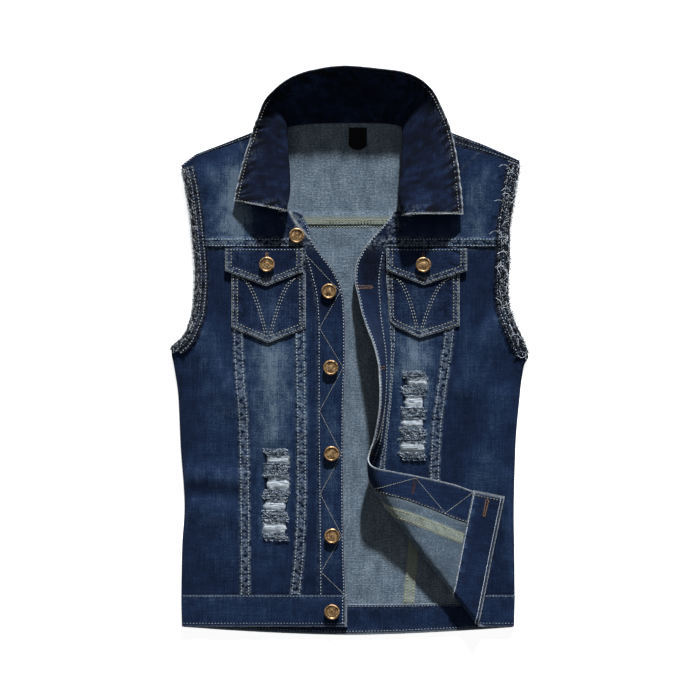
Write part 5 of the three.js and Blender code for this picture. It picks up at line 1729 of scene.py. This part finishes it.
def sew_shoulder(columns):
    """Two rows along the edge where the back yoke comes over the shoulder."""
    for share in (0.28, 0.72):
        x, y = dense([(c[0], c[1] - c[2] * (1 - share)) for c in columns])
        points = np.stack([x, y, front_height(x, y) + FACE + 0.25], -1)
        keep_row("stitches_band", points, np.tile([0.0, 0.0, 1.0], (len(x), 1)))


for side in SIDES:
    sew_pocket(side)
    sew_flap(side)
    sew_strip(side)
sew_shoulder(BACK_TOP[:5])
sew_shoulder(BACK_TOP[11:])


def sew_back():
    low, high = float(left_outline(161)) + 8, float(right_outline(161)) - 8
    for y, lift in ((158.1, FACE), (163.8, FELL_FACE), (166.4, FELL_FACE)):
        sew("stitches_inside", back, None, [(low, y), (high, y)], lift)
    sew("stitches_inside", back, None, [(-70, 288), (60, 288)], FACE)
    for seam, way in ((back_left_seam, -1), (back_right_seam, 1)):
        for row in (NEAR_ROW, FAR_ROW):
            sew("stitches_inside", back, BACK_SEAMS, beside(seam, way * row, -322, 158), FELL_FACE)
    xs = np.linspace(-208, 204, 60)
    for y in (back_band_seam(xs) - 3, back_hem(xs) + 4.5):
        sew("stitches_band", back_band, None, np.stack([xs, y], -1), BAND_FACE)


def sew_collar():
    """A row near the collar's outer edge and its two ends, on the face and underneath."""
    inset = 5.0
    reach = collar_out[-1] - inset
    last = len(collar_us) - 4
    rise = [(v, 3) for v in range(4, len(collar_vs)) if collar_out[v, 3] < reach[3]]
    edge = [(int(np.argmin(np.abs(collar_out[:, u] - reach[u]))), u) for u in range(3, last + 1)]
    fall = [(v, last) for v in reversed(range(4, len(collar_vs))) if collar_out[v, last] < reach[last]]
    v, u = np.array(rise + edge + fall).T
    path, up = collar_middle[v, u], collar_normal[v, u]
    # behind the neck the dark thread is painted shade: the standing collar hides that row in its shade
    end = int(0.37 * len(path))  # along the leaves the thread is pale, behind the neck it is dark
    parts = [("stitches_collar", slice(0, end)), ("stitches_collar_back_painted_shade", slice(end - 1, -end + 1)),
             ("stitches_collar", slice(-end, None))]
    for way in (1, -1):
        row = path + way * up * (COLLAR_CLOTH / 2 + BOLD_RISE)
        for target, part in parts:
            keep_row(target, row[part], way * up[part])
    v = int(np.argmin(np.abs(collar_vs - 0.2)))
    for part in (slice(3, 26), slice(-26, -3)):
        up = collar_normal[v, part]
        keep_row("stitches_collar", collar_middle[v, part] + up * (COLLAR_CLOTH / 2 + BOLD_RISE), up)


sew_back()
sew_collar()
print("rows:", sum(len(group) for group in rows.values()))

# %% [markdown]
# One run of the tree turns one group of rows into one mesh. The groups differ in their thread and
# in how long, wide and close their stitches are.

# %% Run the tree for each group of rows
FINE_THREAD = {"Width": 0.00062, "Step": 0.003, "Length": 0.0028}
LOCKED = {"Width": 0.0008, "Length": 0.0064}  # longer than a step, so the row reads as one line
THREADS = {
    "stitches_lower_band": (dim_thread, {"Width": 0.0009}),
    "stitches_lower_band_turned": (weft_thread, LOCKED),
    "stitches_right_turned": (tan_thread, {"Width": 0.0008}),
    "stitches_zigzag_turned": (khaki_thread, FINE_THREAD),
    "stitches_left": (pale_thread, {}),
    "stitches_right": (pale_thread, {}),
    "stitches_band": (dim_thread, {}),
    "stitches_strips": (pale_thread, {}),
    "stitches_zigzag": (khaki_thread, FINE_THREAD),
    "stitches_pockets": (khaki_thread, {}),
    "stitches_inside": (tan_thread, {}),
    "stitches_collar": (khaki_thread, {}),
    # painted shade: the collar's row behind the neck gets a dark thread
    "stitches_collar_back_painted_shade": (collar_back_shade_thread, {}),
}
threads = []
for name, group in rows.items():
    material, sizes = THREADS[name]
    piece = grow(name, stitch_tree, group, Thread=material, **sizes)
    threads.append(piece)
    print(name, len(piece.data.polygons), "faces")

# %% [markdown]
# ## Buttonholes
#
# A jacket's buttonhole is a slit with a round eye at the end near the edge, bound all round with
# close stitches across the slit. The same tree sews it: its lines run round the slit, its step is
# shorter than a stitch is wide, and each stitch lies across its line, which takes no more than
# swapping the two directions of the row.

# %% Buttonholes
HOLE_LENGTH = 19
HOLE_WIDTH = 2.4
EYE = 2.3
BOUND_STEP = 0.0011
BOUND_LENGTH = 0.0017
holes = {"copper": [], "bronze": []}


def hole_path(x, y, way):
    """Round a slit with an eye. Way is the direction in which its eye points."""
    way = np.array(way, float) / np.hypot(*way)
    side_way = np.array([-way[1], way[0]])
    turn = np.linspace(math.radians(-140), math.radians(140), 14)
    eye = np.stack([HOLE_LENGTH / 2 + EYE * np.cos(turn), EYE * np.sin(turn)], -1)
    tail = [(-HOLE_LENGTH / 2, HOLE_WIDTH / 2), (-HOLE_LENGTH / 2, -HOLE_WIDTH / 2)]
    loop = np.array([*eye, *tail, eye[0]])
    return np.array([x, y]) + loop[:, :1] * way + loop[:, 1:] * side_way


def bind(colour, surface, seams, x, y, way, lift, sign=1):
    """Binds a hole. Sign is 1 on the outer face and -1 on the inner one."""
    px, py = dense(hole_path(x, y, way), 70)
    points, up = laid(surface, px, py, sign * lift, seams)
    placed, up, along = row_of(points, sign * up)
    holes[colour].append((placed, up, np.cross(up, along)))


BUTTONHOLE_HEIGHTS = [80, -22.5, -132.5, -237.5]
LEFTWARDS, DOWNWARDS = (-1, 0), (0, -1)
for y in BUTTONHOLE_HEIGHTS:
    x = float(right_edge(y)) + 13.5
    face = PLACKET_CLOTH / 2 + BOLD_RISE
    bind("copper" if y == 80 else "bronze", right_front, RIGHT_SEAMS, x, y, LEFTWARDS, face)
    bind("bronze", right_front, RIGHT_SEAMS, x, y, LEFTWARDS, face, sign=-1)
band_x = float(right_edge(-333)) + 16
for sign in (1, -1):
    bind("copper", right_front, BAND_SEAMS, band_x, -333, LEFTWARDS, BAND_CLOTH / 2 + BOLD_RISE, sign)
for side, x in {"left": -106, "right": 93.5}.items():
    s = SIDES[side]
    bind("copper", s["surface"], s["seams"], x, 114, DOWNWARDS, FLAP_PATCH_LIFT + FLAP_CLOTH / 2 + BOLD_RISE)
for colour, material in {"copper": copper_thread, "bronze": bronze_thread}.items():
    piece = grow("buttonholes_" + colour, stitch_tree, holes[colour], Step=BOUND_STEP, Length=BOUND_LENGTH,
                 Width=0.0007, Thread=material)
    threads.append(piece)
    print(piece.name, len(holes[colour]), "holes,", len(piece.data.polygons), "faces")

# %% [markdown]
# ## Fringe
#
# Where denim is cut and left raw, its threads come loose: short and dense along the strips, longer
# and matted here and there, and in tufts above and below each worn window. One loose thread is a
# thin bent tube with few faces. A second tree sets them along lines, each turned and stretched by a
# random number with a fixed seed.

# %% A tree that frays
def make_fringe_tree():
    tree = new_tree("fringe", [
        ("Step", "NodeSocketFloat", 0.001), ("Length", "NodeSocketFloat", 0.006),
        ("Thickness", "NodeSocketFloat", 0.00028), ("Spread", "NodeSocketFloat", 0.8),
        ("Lift", "NodeSocketFloat", 0.4), ("Bend", "NodeSocketFloat", 0.35), ("Seed", "NodeSocketInt", 1),
        ("Thread", "NodeSocketMaterial", None),
    ])
    given = add_node(tree, "NodeGroupInput").outputs
    length, spread, seed = given["Length"], given["Spread"], given["Seed"]
    middle = vector(tree, X=0.55, Y=given["Bend"], Z=0.0)
    hair = add_node(tree, "GeometryNodeCurveQuadraticBezier",
                    {"Resolution": 4, "Start": (0, 0, 0), "Middle": middle, "End": (1, 0, 0)})
    circle = add_node(tree, "GeometryNodeCurvePrimitiveCircle", {"Resolution": 3})
    radius = number(tree, "DIVIDE", given["Thickness"], length)
    section = scaled(tree, circle.outputs["Curve"], vector(tree, X=radius, Y=radius, Z=1.0))
    tube = tube_along(tree, hair.outputs["Curve"], section)
    tube = scaled(tree, tube, vector(tree, X=length, Y=length, Z=length))
    aside = random_number(tree, number(tree, "MULTIPLY", spread, -1.0), spread, seed)
    rise = number(tree, "MULTIPLY", random_number(tree, 0.0, given["Lift"], seed), -1.0)
    turn = leaned(tree, turned_along(tree, "run", "up"), vector(tree, Y=rise, Z=aside))
    turn = leaned(tree, turn, vector(tree, X=random_number(tree, -3.14, 3.14, seed)))
    stretch = random_number(tree, 0.4, 1.25, seed)
    loose = set_along(tree, given, tube, turn, vector(tree, X=stretch, Y=stretch, Z=1.0))
    return finish_tree(tree, loose, given["Thread"])


fringe_tree = make_fringe_tree()
print("fringe tree nodes:", len(fringe_tree.nodes))

# %% [markdown]
# Along an armhole the fringe grows from several lines, from the raw outer edge to the inner edge of
# the strip, and points outwards or anywhere.

# %% Fringe along the armholes
fringes = {}


def fray_line(target, surface, seams, x, y, lift, along):
    """A line of the plan to fray, with the direction on the plan in which its threads point."""
    points, up = laid(surface, x, y, lift, seams)
    tips, _ = laid(surface, x + 0.5 * along[0], y + 0.5 * along[1], lift, seams)
    fringes.setdefault(target, []).append((in_frame(points), up, unit(tips - points)))


def fray_armhole(side):
    s = SIDES[side]
    _, low, high = TRIMS[side]
    y = np.linspace(low, high, 140)
    sign = -1 if side == "left" else 1
    lines_across = [(-1.4, 1, "edge"), (-0.6, 1, "edge"), (1.5, 1, "mat"), (3.5, -1, "mat"), (5.5, 1, "mat"),
                    (15.0, -1, "inner")]
    if side == "right":
        lines_across.append((10.5, 1, "mat"))
    for across, way, group in lines_across:
        path_x, path_y = armhole_place(side, across, y)
        along = (np.full(len(y), float(sign * way)), np.zeros(len(y)))
        lift = TRIM_LIFT + TRIM_CLOTH / 2 if group != "inner" else TRIM_LIFT
        fray_line(f"fringe_{group}_{side}", s["surface"], s["seams"], path_x, path_y, lift, along)


for side in SIDES:
    fray_armhole(side)
# Rows of (name, group of lines, step, length, spread, thread)
FRINGES = [
    ("edge_left", "edge_left", 0.0009, 0.0028, 0.9, fray_thread),
    ("mat_left", "mat_left", 0.0021, 0.0042, 3.1, fray_thread),
    ("dark_left", "mat_left", 0.0013, 0.0045, 3.1, dark_fray_thread),
    ("inner_left", "inner_left", 0.0011, 0.003, 0.9, dark_fray_thread),
    ("edge_right", "edge_right", 0.0026, 0.0034, 1.0, fray_thread),
    ("mat_right", "mat_right", 0.0042, 0.005, 3.1, fray_thread),
    ("dark_right", "mat_right", 0.0011, 0.005, 3.1, dark_fray_thread),
    ("loops_right", "mat_right", 0.009, 0.014, 3.1, weft_thread),
    ("inner_right", "inner_right", 0.0011, 0.003, 0.9, dark_fray_thread),
]
for seed, (label, group, step, length, spread, material) in enumerate(FRINGES):
    piece = grow("fringe_" + label, fringe_tree, fringes["fringe_" + group], Seed=seed + 1, Step=step,
                 Length=length, Spread=spread, Lift=0.32, Bend=0.6, Thread=material)
    threads.append(piece)
    print(piece.name, len(piece.data.polygons), "faces")

# %% [markdown]
# In a worn window only the pale weft is left, two layers of threads that go in under the cloth at
# both sides and bulge in the middle. Tufts of cut warp stand above and below it, and the bars
# between the windows are nearly gone, so they are covered with tufts as well.

# %% Worn windows: weft threads and tufts
WEFT_STEP = 0.95


def make_weft_tree():
    tree = new_tree("weft", [("Radius", "NodeSocketFloat", 0.00045), ("Thread", "NodeSocketMaterial", None)])
    given = add_node(tree, "NodeGroupInput").outputs
    circle = add_node(tree, "GeometryNodeCurvePrimitiveCircle", {"Resolution": 5, "Radius": given["Radius"]})
    tube = tube_along(tree, as_curve(tree, given), circle.outputs["Curve"])
    return finish_tree(tree, tube, given["Thread"])


weft_tree = make_weft_tree()


def make_weft(side, index, window):
    """Threads across one window. They run under the cloth at both sides, and wave a little."""
    s = SIDES[side]
    left, right, top, bottom = window
    chance = np.random.default_rng(100 * index + (side == "right"))
    group = []
    for y in np.arange(bottom - 1, top + 1, WEFT_STEP):
        for layer in (0, 1):
            x = np.linspace(left - 3, right + 3, 22)
            drift = 0.5 * noise(x, y, 6, 50 + layer) + 0.3 * noise(x, y * 2, 2.5, 52 + layer)
            drift = drift + chance.uniform(-0.25, 0.25)
            swell = math.sin(math.pi * np.clip((y - bottom) / (top - bottom), 0, 1))
            rise = 0.2 + 0.5 * layer + 0.35 * noise(x, y, 3.5, 54) + 1.6 * swell
            rise = rise - 1.8 * (ramp(left + 1.5, left - 1.5, x) + ramp(right - 1.5, right + 1.5, x))
            points, up = laid(s["surface"], x, y + drift, rise - 0.4, s["seams"])
            group.append(row_of(points, up))
    node = f"weft_{side}_{index + 1}"
    pieces[node] = grow("threads_" + node, weft_tree, group, Thread=weft_thread)


def fray_windows(side):
    s = SIDES[side]
    face = DENIM / 2
    for left, right, top, bottom in WEAR[side]:
        x = np.linspace(left - 1, right + 1, 16)
        for y, way in ((top + 0.5, -1), (bottom - 0.5, 1), (top + 1.5, 1), (bottom - 1.5, -1)):
            along = (np.zeros(len(x)), np.full(len(x), float(way)))
            fray_line(f"tufts_{side}", s["surface"], s["seams"], x, np.full(len(x), y), face, along)
    tops = [w[2] for w in WEAR[side]]
    lows = [w[3] for w in WEAR[side]]
    gaps = list(zip(lows[:-1], tops[1:])) + [(tops[0] + 9, tops[0] + 1), (lows[-1] - 1, lows[-1] - 8)]
    left, right = min(w[0] for w in WEAR[side]), max(w[1] for w in WEAR[side])
    for high, low in gaps:
        for y in np.arange(low + 0.8, high - 0.4, 1.5):
            x = np.linspace(left + 1, right - 3, 16)
            way = 1.0 if (int(y * 10) % 2) else -1.0
            along = (np.full(len(x), 0.25), np.full(len(x), way))
            fray_line(f"tufts_{side}", s["surface"], s["seams"], x, np.full(len(x), y), face, along)


for side in SIDES:
    for index, window in enumerate(WEAR[side]):
        make_weft(side, index, window)
    fray_windows(side)
    tufts = [("pale", weft_thread, 31, 0.0021), ("dark", tuft_thread, 32, 0.0011)]
    for shade, material, seed, step in tufts:
        piece = grow(f"tufts_{shade}_{side}", fringe_tree, fringes[f"tufts_{side}"], Seed=seed, Step=step,
                     Length=0.0036, Spread=1.5, Lift=0.3, Bend=0.9, Thread=material)
        threads.append(piece)
print("weft pieces:", sum(node.startswith("weft") for node in pieces))

# %% [markdown]
# ## Attach each piece and hide its imported node
#
# Every piece rides on the one body of this part, and the node of the imported model that it stands
# for is hidden. The size each cloth piece was cut to is taken off it again.

for piece in threads:
    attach(piece, "root")
for node, piece in pieces.items():
    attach(piece, "root")
    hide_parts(node)
    if "cut_area" in piece:
        width, length = piece["cut_width"] / 1000, piece["cut_length"] / 1000
        for key in ("cut_area", "cut_width", "cut_length"):
            del piece[key]
print("declared:", len(pieces))

# %% [markdown]
# ## Table, light and camera
#
# The vest was photographed from straight above and cut out on white. One strong light comes from
# the top of the picture at a low angle, so that folds, seams and the raised collar throw shadows
# down the picture, and the pale surroundings fill them a little.

# %% Stage
CAMERA_HEIGHT = 2.12
VIEW_CENTRE = (0.0005, 0.0032)
KEY_SHARE = 0.83  # of the light on a level surface: the rest comes from all round
KEY_AZIMUTH = 7
KEY_ELEVATION = 19.5
KEY_SOFTNESS = 3
FLOOR_GLOW = 0.8
FLOOR_HALF = 16  # half its side, in metres, so that a low view doesn't see past it


def make_floor():
    mesh = bpy.data.meshes.new("table")
    corners = [(x * FLOOR_HALF, y * FLOOR_HALF, 0) for x, y in ((-1, -1), (1, -1), (1, 1), (-1, 1))]
    mesh.from_pydata(corners, [], [(0, 1, 2, 3)])
    floor = add_object("table", mesh)
    floor.location.z = -0.0002
    f = Finish("table_white")
    grain = f.noise(f.place((1, 1, 1)), 30, 2)
    f.shader.inputs["Emission Color"].default_value = (1, 1, 1, 1)
    f.shader.inputs["Emission Strength"].default_value = FLOOR_GLOW
    mesh.materials.append(f.done(f.colours(grain, [(0.0, (247, 247, 247)), (1.0, (252, 252, 252))]), 0.9))


def key_light(azimuth, elevation, strength, softness):
    """A far lamp, seen from the vest at a compass angle and a height angle, all in degrees."""
    light = bpy.data.lights.new("key", "SUN")
    light.energy = strength
    light.angle = math.radians(softness)
    lamp = add_object("key", light)
    a, e = math.radians(azimuth), math.radians(elevation)
    way = mathutils.Vector((math.sin(a) * math.cos(e), math.cos(a) * math.cos(e), math.sin(e)))
    lamp.location = way * 3
    lamp.rotation_euler = way.to_track_quat("Z", "Y").to_euler()


def make_camera():
    camera = bpy.data.cameras.new("camera")
    camera.lens = 85
    camera.sensor_width = 36
    holder = add_object("camera", camera)
    holder.location = (*VIEW_CENTRE, CAMERA_HEIGHT)
    bpy.context.scene.camera = holder


make_floor()
key_strength = KEY_SHARE * math.pi / math.sin(math.radians(KEY_ELEVATION))
key_light(KEY_AZIMUTH, KEY_ELEVATION, key_strength, KEY_SOFTNESS)
world = bpy.data.worlds.new("room")
world.use_nodes = True
background = world.node_tree.nodes["Background"].inputs
background["Color"].default_value = (1.0, 1.0, 1.0, 1)
background["Strength"].default_value = 1 - KEY_SHARE
bpy.context.scene.world = world
bpy.context.scene.view_settings.view_transform = "Standard"
make_camera()
print("camera", CAMERA_HEIGHT, "m above the table")
